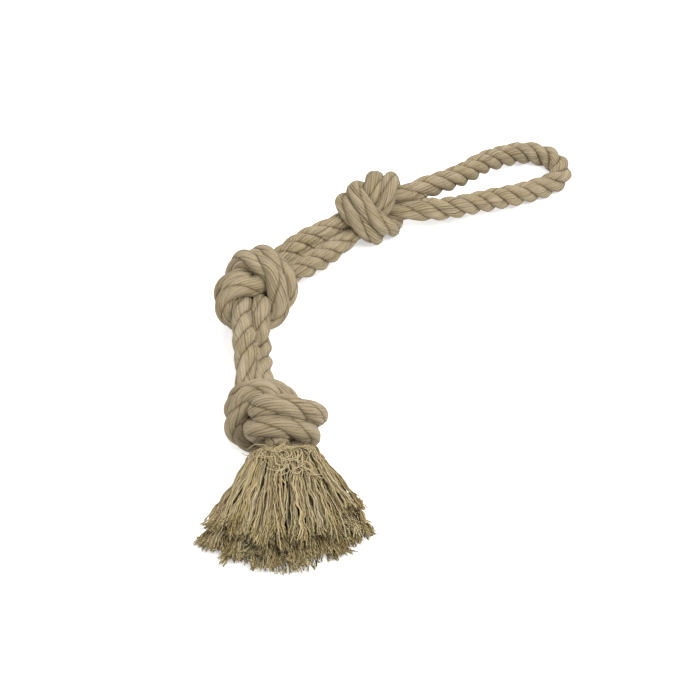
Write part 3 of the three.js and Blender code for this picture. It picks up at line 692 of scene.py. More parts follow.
class TwistedRope:
    """Three strands of yarn laid right-handed around a route, pressed where passes touch."""

    strands = 3
    lines_per_yarn = 4
    centre_share = 0.42  # of the rope's radius, from its middle to the middle of a strand
    knotted_share = 0.31  # the same where passes of a knot press on the rope
    free_radius = 10 * MM
    pressed_by = 2 * MM  # narrower than that, where it is pressed fully
    # How far the painted shade beside a crease between strands reaches
    crease_reach = 1.2 * MM
    strand_gap = 0.02 * MM
    ridge_power = 0.75
    yarn_drift = 0.36  # how far yarns wander aside, in yarns
    yarn_turns = 1.72  # back, for each turn of the strand
    turn_drift = 0.06
    crown_drift = 0.035
    # Samples over which each unevenness changes
    opening_reach, radius_reach = 12, 9
    turn_reach, crown_reach = 34, 17
    height_reach, tone_reach, depth_reach, drift_reach = 21, 55, 26, 48
    depth_mean, depth_spread, depth_least, depth_most = 0.75, 0.7, 0.1, 1.8
    tone_mean, tone_spread = 0.5, 0.25
    # Painted shade: how much the grooves between yarns and the creases between strands darken the colour
    groove_dark, crease_dark = 0.55, 0.5
    strand_shift = 700  # so that the strands' streaks differ
    floor_gap = 0.05 * MM
    # Other passes of the rope
    pass_apart = 27 * MM  # rope nearer along its own length than this isn't another pass
    pass_gap = 0.1 * MM
    overlap = 0.7 * MM
    most_reach = 1.5 * MM
    beside = 23 * MM  # passes further apart than this don't touch
    beside_fade = 2 * MM
    fill_from = 0.56
    fill_whole = 0.7
    fill_width = 0.5  # of the rope's radius, to each side of the line to the other pass
    fill_edge = 0.2
    least_ratio = 0.1  # of the way to the halfway plane: nearer points aren't pushed out to it

    def __init__(self, route, values):
        rng = np.random.default_rng(11)
        self.route, self.values = route, values
        self.sides = values.yarns * self.lines_per_yarn
        pressed = np.clip((self.free_radius - route.radii) / self.pressed_by, 0, 1)
        rate = TURN / values.lay_length
        rate = rate * (1 - values.opened * smoothed(pressed, self.opening_reach))
        uneven = self.turn_drift * slow_noise(rng, route.count, self.turn_reach)
        turn = np.cumsum(rate) * route.step + uneven
        self.measure_passes()
        radius = self.touching(route.radii + values.swell + values.bulge * pressed)
        share = self.centre_share + (self.knotted_share - self.centre_share) * pressed
        made = [self.strand(rng, i, turn, radius, share * radius) for i in range(self.strands)]
        offsets, self.attributes = zip(*made)
        offsets = self.against_passes(np.concatenate(offsets, 1), radius)
        points = route.points[:, None] + offsets
        points[..., 2] = np.maximum(points[..., 2], self.floor_gap)
        self.points = np.split(points, self.strands, axis=1)

    def strand(self, rng, number, turn, radius, centre):
        """One strand: its points' offsets from the route, and their attributes."""
        route, count, yarns = self.route, self.route.count, self.values.yarns
        strand_radius = (radius - centre)[:, None]
        line = np.arange(self.sides)
        section = line / self.sides * TURN
        ridge = np.abs(np.cos(section * yarns / 2)) ** self.ridge_power
        yarn = (np.round(section / TURN * yarns).astype(int)) % yarns
        valley = line // self.lines_per_yarn
        share = line % self.lines_per_yarn / self.lines_per_yarn
        heights, tones, depths, drifts = (
            np.array([slow_noise(rng, count, reach) for _ in range(yarns)])
            for reach in (self.height_reach, self.tone_reach, self.depth_reach, self.drift_reach)
        )
        depths = self.depth_mean + self.depth_spread * depths
        depths = np.clip(depths, self.depth_least, self.depth_most)[valley].T * (1 - ridge)
        drift = drifts[valley].T * (1 - share) + drifts[(valley + 1) % yarns].T * share
        # Yarns lie almost along the rope, because they twist the other way
        inside = section + self.yarn_drift * TURN / yarns * drift - self.yarn_turns * turn[:, None]
        crown = 1 + self.crown_drift * slow_noise(rng, count, self.crown_reach)[:, None]
        height = heights[yarn].T * ridge * self.values.unevenness
        size = strand_radius * crown - self.values.groove * depths + height
        outwards = centre[:, None] + size * np.cos(inside)
        outwards, across, inset = self.pressed(outwards, size * np.sin(inside))
        angle = (turn + number * TURN / self.strands)[:, None]
        u = outwards * np.cos(angle) - across * np.sin(angle)
        v = outwards * np.sin(angle) + across * np.cos(angle)
        offsets = u[..., None] * route.out[:, None] + v[..., None] * route.side[:, None]
        # Painted shade: the colour darkens where the grooves between yarns are deep and near the creases
        # between strands
        crease = np.exp(-inset / self.crease_reach)
        groove = np.clip(self.groove_dark * depths + self.crease_dark * crease, 0, 1)
        tone = self.tone_mean + self.tone_spread * tones[yarn].T
        along = np.broadcast_to(route.places[:, None] / MM, tone.shape)
        along = along + self.strand_shift * number
        lay = np.stack([along, section[None] * strand_radius / MM, tone], -1)
        return offsets, (lay, groove)

    def pressed(self, outwards, across):
        """Flattens a strand's sides where the three strands press on each other."""
        half = TURN / 2 / self.strands
        inset = np.full_like(outwards, np.inf)
        for sign in (1, -1):
            normal = (math.sin(half), -sign * math.cos(half))
            inside = outwards * normal[0] + across * normal[1]
            push = np.maximum(0, self.strand_gap - inside)
            outwards = outwards + push * normal[0]
            across = across + push * normal[1]
            inset = np.minimum(inset, np.maximum(inside, 0))
        return outwards, across, inset

    def touching(self, radius):
        """The radius, made larger where the rope almost touches another pass."""
        reaching = np.clip(self.nearest / 2 + self.overlap, radius, radius + self.most_reach)
        beside = np.clip((self.beside - self.nearest) / self.beside_fade, 0, 1)
        return smoothed(radius + (reaching - radius) * beside, self.radius_reach)

    def measure_passes(self):
        """The distances between the route's points, and each one's nearest other pass."""
        points, count = self.route.points, self.route.count
        distance = np.linalg.norm(points[:, None] - points[None], axis=2)
        place = np.arange(count)
        apart = int(self.pass_apart / self.route.step)
        distance[abs(place[:, None] - place[None]) < apart] = np.inf
        self.distance = distance
        self.nearest = distance.min(1)

    def against_passes(self, offsets, radius, reach=14, batch=400):
        """Brings each point of a section to halfway to the nearest other pass of rope.

        Points beyond the halfway plane are drawn in to it, and points close to it are
        pushed out on to it, so that no light passes between ropes that touch.
        """
        points, count = self.route.points, self.route.count
        distance = self.distance
        inner = distance[:, 1:-1]
        nearest = (inner < distance[:, :-2]) & (inner <= distance[:, 2:])
        touching = inner < radius[:, None] + radius[None, 1:-1]
        rows, columns = np.nonzero(nearest & touching)
        most = np.full(offsets.shape[:2], np.inf)
        wanted = np.ones(offsets.shape[:2])
        window = np.arange(-reach, reach + 1)
        for start in range(0, len(rows), batch):
            row = rows[start : start + batch]
            other = np.clip(columns[start : start + batch, None] + 1 + window, 0, count - 1)
            away = points[other] - points[row, None]
            offset = offsets[row]
            along = np.einsum("nsc,nwc->nsw", offset, away)
            squares = (away**2).sum(-1)[:, None]
            picked = np.argmin(squares - 2 * along, 2)
            length = np.sqrt(np.take_along_axis(squares[:, 0], picked, 1))
            forward = np.take_along_axis(along, picked[..., None], 2)[..., 0] / length
            own = radius[row, None]
            share = own / (own + radius[np.take_along_axis(other, picked, 1)])
            ratio = forward / (length * share - self.pass_gap / 2)
            whole = 1 / np.maximum(ratio, self.least_ratio)
            near = np.clip((ratio - self.fill_from) / (self.fill_whole - self.fill_from), 0, 1)
            aside = np.sqrt(np.maximum((offset**2).sum(-1) - forward**2, 0)) / own
            near = near * np.clip((self.fill_width - aside) / self.fill_edge, 0, 1)
            np.minimum.at(most, row, whole)
            np.maximum.at(wanted, row, 1 + (whole - 1) * eased(near))
        return offsets * np.minimum(wanted, most)[..., None]

    def piece(self, name, start, end):
        """The stretch between two samples of the route, as one mesh of three strands."""
        points = np.stack([p[start : end + 1] for p in self.points])
        lay = np.stack([a[0][start : end + 1] for a in self.attributes])
        groove = np.stack([a[1][start : end + 1] for a in self.attributes])
        quads, ends = tube_faces(self.strands, end - start + 1, self.sides)
        # groove carries the painted shade of the grooves and creases to the material
        values = {"lay": lay.reshape(-1, 3), "groove": groove.ravel()}
        return new_mesh(name, points.reshape(-1, 3), quads, ends, values)


ROUTES = {}


def rope_route():
    if "rope" not in ROUTES:
        ROUTES["rope"] = Route(toy_settings()[0].step)
    return ROUTES["rope"]


class ROPETOY_OT_rope(bpy.types.Operator):
    """Lays the twisted rope through the knots, the spans and the hand loop"""

    bl_idname = "ropetoy.rope"
    bl_label = "Twisted rope"

    def execute(self, context):
        values = toy_settings()[0]
        route = rope_route()
        rope = TwistedRope(route, values)
        material = hemp_material("hemp_rope", values)
        for node, start, end in zip(ROPE_ORDER, route.cuts, route.cuts[1:]):
            first, last = route.index(start), route.index(end)
            name = node.replace("_rope_", "_twist_")
            kind = node if node == "handle_loop" else node[:-2]
            if kind in BENDING:
                self.bend(rope, name, node, first, last, BENDING[kind], material)
                continue
            made = dressed(rope.piece(f"{name}_laid", first, last), material, "hemp_rope", node)
            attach(made, BODY_OF[kind])
            if node == "handle_loop":
                2 * route.radii[first:last].mean()
        return {"FINISHED"}

    @staticmethod
    def bend(rope, name, node, first, last, bodies, material):
        """A span's or leg's rope in two halves, each bending across one joint."""
        points = rope.route.points
        joint = joint_place(bodies[0], bodies[1])
        from_inside = np.linalg.norm(points[first] - joint) < np.linalg.norm(points[last] - joint)
        ends = (first, last) if from_inside else (last, first)
        middle = (first + last) // 2
        for half, (inner, outer) in enumerate(((ends[0], middle), (middle, ends[1]))):
            piece_name = f"{name}_{('near', 'far')[half]}"
            made = rope.piece(piece_name, min(inner, outer), max(inner, outer))
            dressed(made, material, "hemp_rope", node)
            axis = STIFF_END_SHARE * (points[outer] - points[inner])
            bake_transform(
                made, bodies[half], bodies[half + 1],
                start=points[inner] + axis, end=points[outer] - axis,
            )


def joint_place(parent, child):
    for joint in frame["joints"]:
        if joint["parent"] == parent and joint["child"] == child:
            return np.array(joint["pos_m"])
    raise RuntimeError(f"no joint joins {parent} and {child}")


# Frayed tassel


def fan_heights(along, aside):
    """The fan's underside and top, at a distance from its apex and from -1 to 1 across it."""
    share = (along - FAN_START) / (FAN_LENGTH - FAN_START)
    landed = eased(np.clip(share / FAN_LANDING, 0, 1))
    bottom = (FAN_START_HEIGHT - FAN_START_THICKNESS / 2) * (1 - landed)
    start_top = FAN_START_HEIGHT + FAN_START_THICKNESS / 2
    dropped = np.clip(share, 0, FAN_REACH) ** FAN_DROP
    top = start_top + (FAN_END_THICKNESS - start_top) * dropped - FAN_EDGE_DROP * aside**2
    return bottom, top


def fan_places(away, heading):
    """Places on the floor at a distance from the fan's apex, in a heading."""
    return FAN_APEX + away[..., None] * np.stack([np.cos(heading), np.sin(heading)], -1)


def fan_points(cell, layer, along, u, v):
    """Points in a cell of the fan, where u and v run from -1 to 1 across and up through it."""
    cell_angle = FAN_SPREAD / len(CELL_LENGTHS)
    angle = (cell + 0.5 + u / 2) * cell_angle - FAN_SPREAD / 2
    bottom, top = fan_heights(along, 2 * angle / FAN_SPREAD)
    share = np.clip((along - FAN_START) / (FAN_LENGTH - FAN_START), 0, 1)
    angle = angle + FAN_BULGE * np.clip(2 * angle / FAN_SPREAD, 0, 1) ** 2 * np.sin(np.pi * share)
    height = bottom + (top - bottom) / 2 * (layer + 0.5 + v / 2)
    flat = fan_places(along, np.radians(FAN_HEADING + angle))
    return np.concatenate([flat, height[..., None]], -1)


def disc_samples(rng, count, moved=0.05):
    """Places spread evenly over the unit disc, each moved a little."""
    i = np.arange(count) + 0.5
    radius = np.sqrt(i / count)
    angle = i * GOLDEN_ANGLE
    spot = np.stack([radius * np.cos(angle), radius * np.sin(angle)], -1)
    return np.clip(spot + rng.normal(size=spot.shape) * moved, -1, 1)


def squared(spot, amount=0.75):
    """Moves places on the disc towards the square around it."""
    radius = np.linalg.norm(spot, axis=-1, keepdims=True) + TINY
    edge = np.abs(spot).max(-1, keepdims=True) + TINY
    return spot * (1 + amount * (radius / edge - 1))


def waves(rng, places, lines, lengths, heights):
    """Sideways crimp along lines: one wave for each, in its own direction across it."""
    length = rng.uniform(*lengths, size=(lines, 1)) * MM
    height = rng.uniform(*heights, size=(lines, 1)) * MM
    phase = rng.uniform(0, TURN, size=(lines, 1))
    lean = rng.uniform(0, TURN, size=(lines, 1))
    sway = WAVE_SWAY * np.sin(places / SWAY_LENGTH + lean)
    wave = height * np.sin(TURN * places / length + phase + sway)
    return wave * np.cos(lean), wave * np.sin(lean)


def own_lengths(rng, count, spread, middle, least, most):
    """Random lengths in metres, from these four numbers in millimetres."""
    return np.clip(rng.normal(size=count) * spread + middle, least, most) * MM


def curves(start, first, second, end, rings):
    """Smooth curves from start to end, which leave towards first and arrive from second."""
    s = np.linspace(0, 1, rings)[None, :, None]
    start, first, second, end = (places[:, None] for places in (start, first, second, end))
    return (
        (1 - s) ** 3 * start + 3 * s * (1 - s) ** 2 * first
        + 3 * s * s * (1 - s) * second + s**3 * end
    )


def thread_mesh(name, lines, radii, tips, tones, hues, sides=5):
    """Round threads along lines of points. radii and tips hold one value for each point."""
    count, rings = lines.shape[:2]
    forward = unit(np.gradient(lines, axis=1))
    first = np.cross(forward[:, 0], UP)
    first[np.linalg.norm(first, axis=1) < TINY] = (1, 0, 0)
    out = untwisted(forward, first)
    side = np.cross(forward, out)
    angle = np.arange(sides) / sides * TURN
    spread = (
        out[:, :, None] * np.cos(angle)[None, None, :, None]
        + side[:, :, None] * np.sin(angle)[None, None, :, None]
    )
    points = lines[:, :, None] + spread * radii[:, :, None, None]
    points[..., 2] = np.maximum(points[..., 2], FLOOR_GAP)
    along = places_along(lines) / MM
    values = np.stack([along, tips, np.broadcast_to(tones[:, None], along.shape)], -1)
    values = np.repeat(values[:, :, None], sides, 2)
    quads, ends = tube_faces(count, rings, sides)
    hue = np.repeat(hues, rings * sides)
    values = {"lay": values.reshape(-1, 3), "hue": hue}
    return new_mesh(name, points.reshape(-1, 3), quads, ends, values)


class Tassel:
    """The threads of the tassel, from the two ropes' ends to their own frayed ends.

    Where two values stand for the layers, the lower layer's comes first.
    """

    root_rings = 15
    tuft_rings = 54
    frayed_end = 6.5 * MM
    knot_reach = 48 * MM  # of the bottom knot from the fan's apex: loose threads stay beyond it
    shorter = (3 * MM, UPPER_SHORTER)
    # Spread, middle, least and most of what threads and locks add to it, in millimetres
    thread_lengths = (2.6, 0.0, -7.0, 1.5)
    lock_lengths = (4.4, -1.5, -11.0, 1.5)
    # Threads gather in their locks, most of all halfway along, and less so upwards
    gathered = (0.3, 0.42)
    gathered_up = 0.4
    gather_until, gather_power = 0.94, 0.8
    cell_share = (1.04, 0.93)  # of a cell's width and height that its tuft takes up
    groove_cells = (2, 3)
    groove_width = 0.2  # of a cell's half width, beside the deep groove in the fan's middle
    # Where the threads leave their rope
    strand_share = 0.47  # of the rope's radius
    bunched = 0.85
    inside_rope = 2 * MM
    leaving, arriving = 0.4, 0.45  # shares of the way to the fan
    # Unevenness in millimetres, and the samples that it changes over
    fine_wander, wide_wander, lock_wander = (0.16, 5), (0.5, 11), (0.8, 12)
    lock_waves = (17, 28), (0.7, 1.5)  # least and most length, and height
    thread_waves = (8, 13), (0.2, 0.55)
    waves_up = 0.8  # as high upwards as sideways
    at_rope = 0.12  # share of the unevenness that is left at the rope
    lock_ruffle, thread_ruffle, ruffle_reach = 1.5, 0.9, 6.0
    lock_curl, thread_curl = 1.3, 1.2
    curl_up = (1.0, 0.3)
    curl_share, curl_power = 0.16 / 1.3, 1.7  # of a thread's length, at its end
    strayed = 0.07  # share of a tuft's threads that lift out of it
    stray_heights = (1.5, 4.0)
    # How dark threads are, and their hue: the mean, what locks add and what threads add
    tone, lock_tone, thread_tone = 0.5, (0.24, 0.13), (0.46, 0.34)
    hue, lock_hue, thread_hue = 0.4, 0.3, 0.2
    stray_tone = 0.3  # as dark as the others
    # How much threads differ in thickness, and one thread along its length
    thick_spread, thick_least, thick_most = 0.22, 0.6, 1.7
    uneven_spread = 0.12
    flared = (1.2, 1.35)  # how much wider the last two rings are, where fibres open
    # Fibres at a thread's end
    fibres, fibre_rings = 3, 5
    fibre_lengths = (0.4, 1.7)
    fibre_spread, fibre_power = 0.9, 1.3
    fibre_root = -0.35  # share of its length inside the thread
    fibre_widths = (0.55, 0.25)
    fibre_height = 0.25 * MM
    fibre_tip, fibre_tone = 0.35, 0.65
    # Loose threads on the fan's top
    loose_rings = 26
    loose_width, loose_end = 0.95, 0.6
    loose_tones, loose_hues = (0, 0.35), (0, 0.7)
    loose_waves = (7, 14), (0.2, 0.8)
    loose_gap = 0.1 * MM  # above the fan

    def __init__(self, route, values):
        self.values = values
        self.ends = {
            "a": (route.points[0], -route.forward[0], route.radii[0]),
            "b": (route.points[-1], route.forward[-1], route.radii[-1]),
        }

    def in_locks(self, rng, lock, shared, own, *size):
        """Random values for threads, in part the same for all the threads of a lock."""
        of_locks = rng.normal(size=(self.values.locks, *size))[lock]
        return of_locks * shared + rng.normal(size=(len(lock), *size)) * own

    def lines(self, strand, tuft, seed):
        """The threads of one tuft: their points, tones and hues."""
        rng = np.random.default_rng(seed)
        angle, pair = STRANDS[strand]
        layer = int(strand[0] == "a")
        spot = disc_samples(rng, self.values.threads)
        middles = disc_samples(rng, self.values.locks)
        lock = np.argmin(((spot[:, None] - middles[None]) ** 2).sum(-1), 1)
        spot, middles = squared(spot), squared(middles)[lock]
        in_fan = self.in_fan(rng, layer, 2 * pair + tuft, spot, middles, lock)
        root = self.root(self.ends[strand[0]], math.radians(angle), tuft, spot, in_fan)
        points = np.concatenate([root[:, :-1], in_fan], 1)
        inwards = unit(in_fan[:, 1] - in_fan[:, 0])
        aside = np.stack([-inwards[:, 1], inwards[:, 0], np.zeros(len(lock))], -1)[:, None]
        points = self.uneven(rng, layer, points, aside, lock)
        points, stray = self.astray(rng, layer, points, aside)
        points[..., 2] = np.maximum(points[..., 2], self.values.thread / 2)
        tones = self.in_locks(rng, lock, self.lock_tone[layer], self.thread_tone[layer])
        tones = np.clip(self.tone + tones, 0, 1) * np.where(stray, self.stray_tone, 1)
        hues = self.hue + self.in_locks(rng, lock, self.lock_hue, self.thread_hue)
        return points, tones, np.clip(hues, 0, 1), rng

    def in_fan(self, rng, layer, cell, spot, middles, lock):
        """The threads' points in the fan, gathered towards the middles of their locks."""
        length = CELL_LENGTHS[cell] * FAN_LENGTH - self.shorter[layer]
        length = length + own_lengths(rng, len(spot), *self.thread_lengths)
        length = length + own_lengths(rng, self.values.locks, *self.lock_lengths)[lock]
        t = np.linspace(0, 1, self.tuft_rings)[None]
        along = FAN_START + (length[:, None] - FAN_START) * t
        pull = self.gathered[layer] * np.sin(np.pi * self.gather_until * t) ** self.gather_power
        u = spot[:, :1] * (1 - pull) + middles[:, :1] * pull
        pull = pull * self.gathered_up
        v = spot[:, 1:] * (1 - pull) + middles[:, 1:] * pull
        if layer and cell in self.groove_cells:
            side = 1 if cell == self.groove_cells[1] else -1
            opened = self.groove_width * np.clip(1.15 - t, 0, 1) * np.clip(t * 6, 0, 1)
            u = side * opened + u * (1 - opened)
        return fan_points(cell, layer, along, self.cell_share[0] * u, self.cell_share[1] * v)

    def root(self, rope_end, angle, tuft, spot, in_fan):
        """The threads' points from the end of their rope to the fan."""
        end, forward, radius = rope_end
        side = unit(np.cross(UP, forward))
        up = np.cross(forward, side)
        offset = side * math.cos(angle) + up * math.sin(angle)
        strand_radius = self.strand_share * radius
        u, v = spot[:, :1], spot[:, 1:]
        spread = up * v * self.bunched - side * (tuft - 0.5 + u / 2)
        start = end + offset * (radius - strand_radius) - forward * self.inside_rope
        start = start + strand_radius * self.bunched * spread
        arrive = in_fan[:, 0]
        inwards = unit(in_fan[:, 1] - arrive)
        reach = np.linalg.norm(arrive - start, axis=1)[:, None]
        first = start + forward * reach * self.leaving
        second = arrive - inwards * reach * self.arriving
        return curves(start, first, second, arrive, self.root_rings)

    def uneven(self, rng, layer, points, aside, lock):
        """The threads with their waves, ruffles and curled ends."""
        count, total = points.shape[:2]
        locks = self.values.locks
        drift = sum(
            wander(rng, count, total, reach) * size
            for size, reach in (self.fine_wander, self.wide_wander)
        )
        size, reach = self.lock_wander
        drift = (drift + wander(rng, locks, total, reach)[lock] * size) * MM
        places = places_along(points)
        of_locks = waves(rng, places[[0] * locks], locks, *self.lock_waves)
        of_threads = waves(rng, places, count, *self.thread_waves)
        sideways, upwards = (whole[lock] + own for whole, own in zip(of_locks, of_threads))
        drift += aside * sideways[..., None] + UP * self.waves_up * upwards[..., None]
        drift *= np.linspace(self.at_rope, 1, total)[:, None]
        ruffle = self.in_locks(rng, lock, self.lock_ruffle, self.thread_ruffle, 3) * MM
        rings = np.arange(total) - self.root_rings + 1
        near_knot = np.exp(-((rings / self.ruffle_reach) ** 2))[:, None]
        curl = self.in_locks(rng, lock, self.lock_curl, self.thread_curl, 3) * MM
        curl[:, 2] = abs(curl[:, 2]) * self.curl_up[layer]
        from_end = np.linspace(-1, 0, total)[:, None]
        curled = np.clip(1 + from_end / self.curl_share, 0, 1) ** self.curl_power
        return points + drift + ruffle[:, None] * near_knot + curl[:, None] * curled

    def astray(self, rng, layer, points, aside):
        """The threads, some of them lifted out of the tuft, and which ones those are."""
        count, total = points.shape[:2]
        height = (rng.random(count) < self.strayed) * rng.uniform(*self.stray_heights, size=count)
        arch = np.sin(np.pi * np.linspace(0, 1, total)) ** 2 * (height * MM)[:, None]
        side = rng.choice([-1, 1], size=count)[:, None]
        points = points + aside * (arch * side)[..., None]
        points[..., 2] += layer * arch
        return points, height > 0

    def radii(self, count, total, rng):
        thick = 1 + self.thick_spread * rng.normal(size=(count, 1))
        uneven = 1 + self.uneven_spread * rng.normal(size=(count, total))
        return self.values.thread / 2 * np.clip(thick, self.thick_least, self.thick_most) * uneven

    def spread_fibres(self, rng, lines, widths):
        """Fine fibres that spread from the threads' ends: their points and radii."""
        end = np.repeat(lines[:, -1], self.fibres, 0)
        away = np.repeat(unit(lines[:, -1] - lines[:, -4]), self.fibres, 0)[:, None]
        aside = rng.normal(size=end.shape) * self.fibre_spread
        aside[:, 2] = aside[:, 2] * 0.6 - 0.1  # flatter, and a little downwards
        length = rng.uniform(*self.fibre_lengths, size=(len(end), 1, 1)) * MM
        share = np.linspace(self.fibre_root, 1, self.fibre_rings)[:, None]
        bend = aside[:, None] * np.clip(share, 0, 1) ** self.fibre_power
        points = end[:, None] + length * (away * share + bend)
        points[..., 2] = np.maximum(points[..., 2], self.fibre_height)
        width = np.repeat(widths[:, -3], self.fibres)[:, None]
        return points, width * np.linspace(*self.fibre_widths, self.fibre_rings)

    def tips(self, points):
        """0 along a thread, rising to 1 over its frayed end."""
        places = places_along(points)
        return np.clip(1 - (places[:, -1:] - places) / self.frayed_end, 0, 1)

    def loose(self, rng, starts, headings, lengths, curls, lifts):
        """Loose threads on the fan's top: arcs that curl, from places on the fan.

        lengths and lifts are in millimetres, curls in radians for each millimetre.
        """
        count, rings = len(starts), self.loose_rings
        length = rng.uniform(*lengths, size=(count, 1)) * MM
        t = np.linspace(0, 1, rings)[None]
        bend = rng.uniform(-curls, curls, size=(count, 1)) / MM
        sway = rng.uniform(-curls, curls, size=(count, 1)) / MM
        phase = rng.uniform(0, TURN, size=(count, 1))
        turned = length * (bend * t * 0.5 + sway * np.sin(TURN * t + phase) / TURN)
        heading = headings[:, None] + turned
        step = length / (rings - 1)
        x = starts[:, :1] + np.cumsum(np.cos(heading) * step, 1)
        y = starts[:, 1:2] + np.cumsum(np.sin(heading) * step, 1)
        x, y = x - FAN_APEX[0], y - FAN_APEX[1]
        away = np.hypot(x, y)
        outwards = np.maximum(self.knot_reach / away, 1)
        away = away * outwards
        angle = np.degrees(np.arctan2(y, x)) - FAN_HEADING
        _, top = fan_heights(np.maximum(away, FAN_START), np.clip(2 * angle / FAN_SPREAD, -1, 1))
        lift = rng.uniform(*lifts, size=(count, 1)) * MM
        z = top + lift * np.sin(np.pi * t) ** 0.7 + self.loose_gap
        aside, above = waves(rng, length * t, count, *self.loose_waves)
        x = FAN_APEX[0] + x * outwards - np.sin(heading) * aside
        y = FAN_APEX[1] + y * outwards + np.cos(heading) * aside
        return np.stack([x, y, z + above * np.sin(np.pi * t)], -1)


class ROPETOY_OT_tassel(bpy.types.Operator):
    """Opens the ropes' ends into strands and frays them into tufts of thread"""

    bl_idname = "ropetoy.tassel"
    bl_label = "Frayed tassel"

    def execute(self, context):
        values = toy_settings()[1]
        tassel = Tassel(rope_route(), values)
        material = frayed_material("frayed_hemp", values)
        cut = tassel.root_rings - 1
        ends = []
        for number, strand in enumerate(STRANDS):
            roots = []
            for tuft in range(2):
                seed = TUFT_SEED + 10 * number + tuft
                points, tones, hues, rng = tassel.lines(strand, tuft, seed)
                radii = tassel.radii(*points.shape[:2], rng)
                tips = tassel.tips(points)
                rooted = (part[:, : cut + 1] for part in (points, radii, tips))
                roots.append((*rooted, tones, hues))
                node = f"tassel_tuft_{strand}_{tuft + 1}"
                frayed = (part[:, cut:] for part in (points, radii, tips))
                ends.append(self.tuft(tassel, node, *frayed, tones, hues, rng, material))
            joined = [np.concatenate(parts) for parts in zip(*roots)]
            node = f"root_strand_{strand}"
            made = thread_mesh(f"root_threads_{strand}", *joined)
            dressed(made, material, "frayed_hemp", node)
            start = joined[0][:, 0].mean(0)
            end = joined[0][:, -1].mean(0)
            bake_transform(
                made, "bottom_knot", "tassel_root",
                start=start, end=start + ROOT_BEND_SHARE * (end - start),
            )
        start, end = (np.mean(places, 0) for places in zip(*ends))
        for name, loose in (("root_curls", self.curls), ("stray_threads", self.strays)):
            points, rng = loose(tassel, values)
            if not len(points):
                continue
            radii = tassel.radii(*points.shape[:2], rng) * tassel.loose_width
            radii[:, [0, -1]] *= tassel.loose_end
            tones = rng.uniform(*tassel.loose_tones, size=len(points))
            hues = rng.uniform(*tassel.loose_hues, size=len(points))
            made = thread_mesh(name, points, radii, np.zeros(radii.shape), tones, hues)
            dressed(made, material, "frayed_hemp")
            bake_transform(made, "tassel_root", "tassel", start=start, end=end)
        return {"FINISHED"}

    @staticmethod
    def tuft(tassel, node, lines, widths, tips, tones, hues, rng, material):
        """One tuft's threads, each with a few fine fibres at its end."""
        widths = widths.copy()
        widths[:, -2:] *= tassel.flared
        name = node.replace("tassel_tuft", "threads")
        made = thread_mesh(name, lines, widths, tips, tones, hues)
        dressed(made, material, "frayed_hemp", node)
        points, widths = tassel.spread_fibres(rng, lines, widths)
        tones, hues = (np.repeat(values, tassel.fibres) for values in (tones, hues))
        fine = thread_mesh(
            node.replace("tassel_tuft", "fibres"), points, widths,
            np.full(widths.shape, tassel.fibre_tip), tones * tassel.fibre_tone, (1 + hues) / 2,
            sides=3,
        )
        dressed(fine, material, "frayed_hemp")
        start = lines[:, 0].mean(0)
        end = start + TUFT_BEND * unit(lines[:, TUFT_AHEAD].mean(0) - start)
        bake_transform(made, "tassel_root", "tassel", start=start, end=end)
        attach(fine, "tassel")
        return start, end

    @staticmethod
    def curls(tassel, values):
        """Yarn that has come loose at the tassel's root and curls over its top."""
        rng = np.random.default_rng(CURLS_SEED)
        count = values.curls
        beside_knot = np.arange(count) < count // 3
        near, far = rng.uniform(-27, 27, size=count), rng.uniform(-11, 17, size=count)
        heading = np.radians(FAN_HEADING + np.where(beside_knot, near, far))
        near, far = rng.uniform(49, 53, size=count), rng.uniform(50, 66, size=count)
        starts = fan_places(np.where(beside_knot, near, far) * MM, heading)
        heading = heading + rng.normal(size=count) * 0.8
        points = tassel.loose(rng, starts, heading, lengths=(14, 30), curls=0.26, lifts=(1.5, 5.5))
        return points, rng

    @staticmethod
    def strays(tassel, values):
        """Threads that lie across the tassel's top."""
        rng = np.random.default_rng(STRAYS_SEED)
        count = values.strays
        heading = np.radians(FAN_HEADING + rng.uniform(-25, 25, size=count))
        starts = fan_places(rng.uniform(62, 96, size=count) * MM, heading)
        heading = heading + rng.normal(size=count) * 0.12
        points = tassel.loose(rng, starts, heading, lengths=(25, 48), curls=0.025, lifts=(0.3, 2.0))
        return points, rng


# Stage


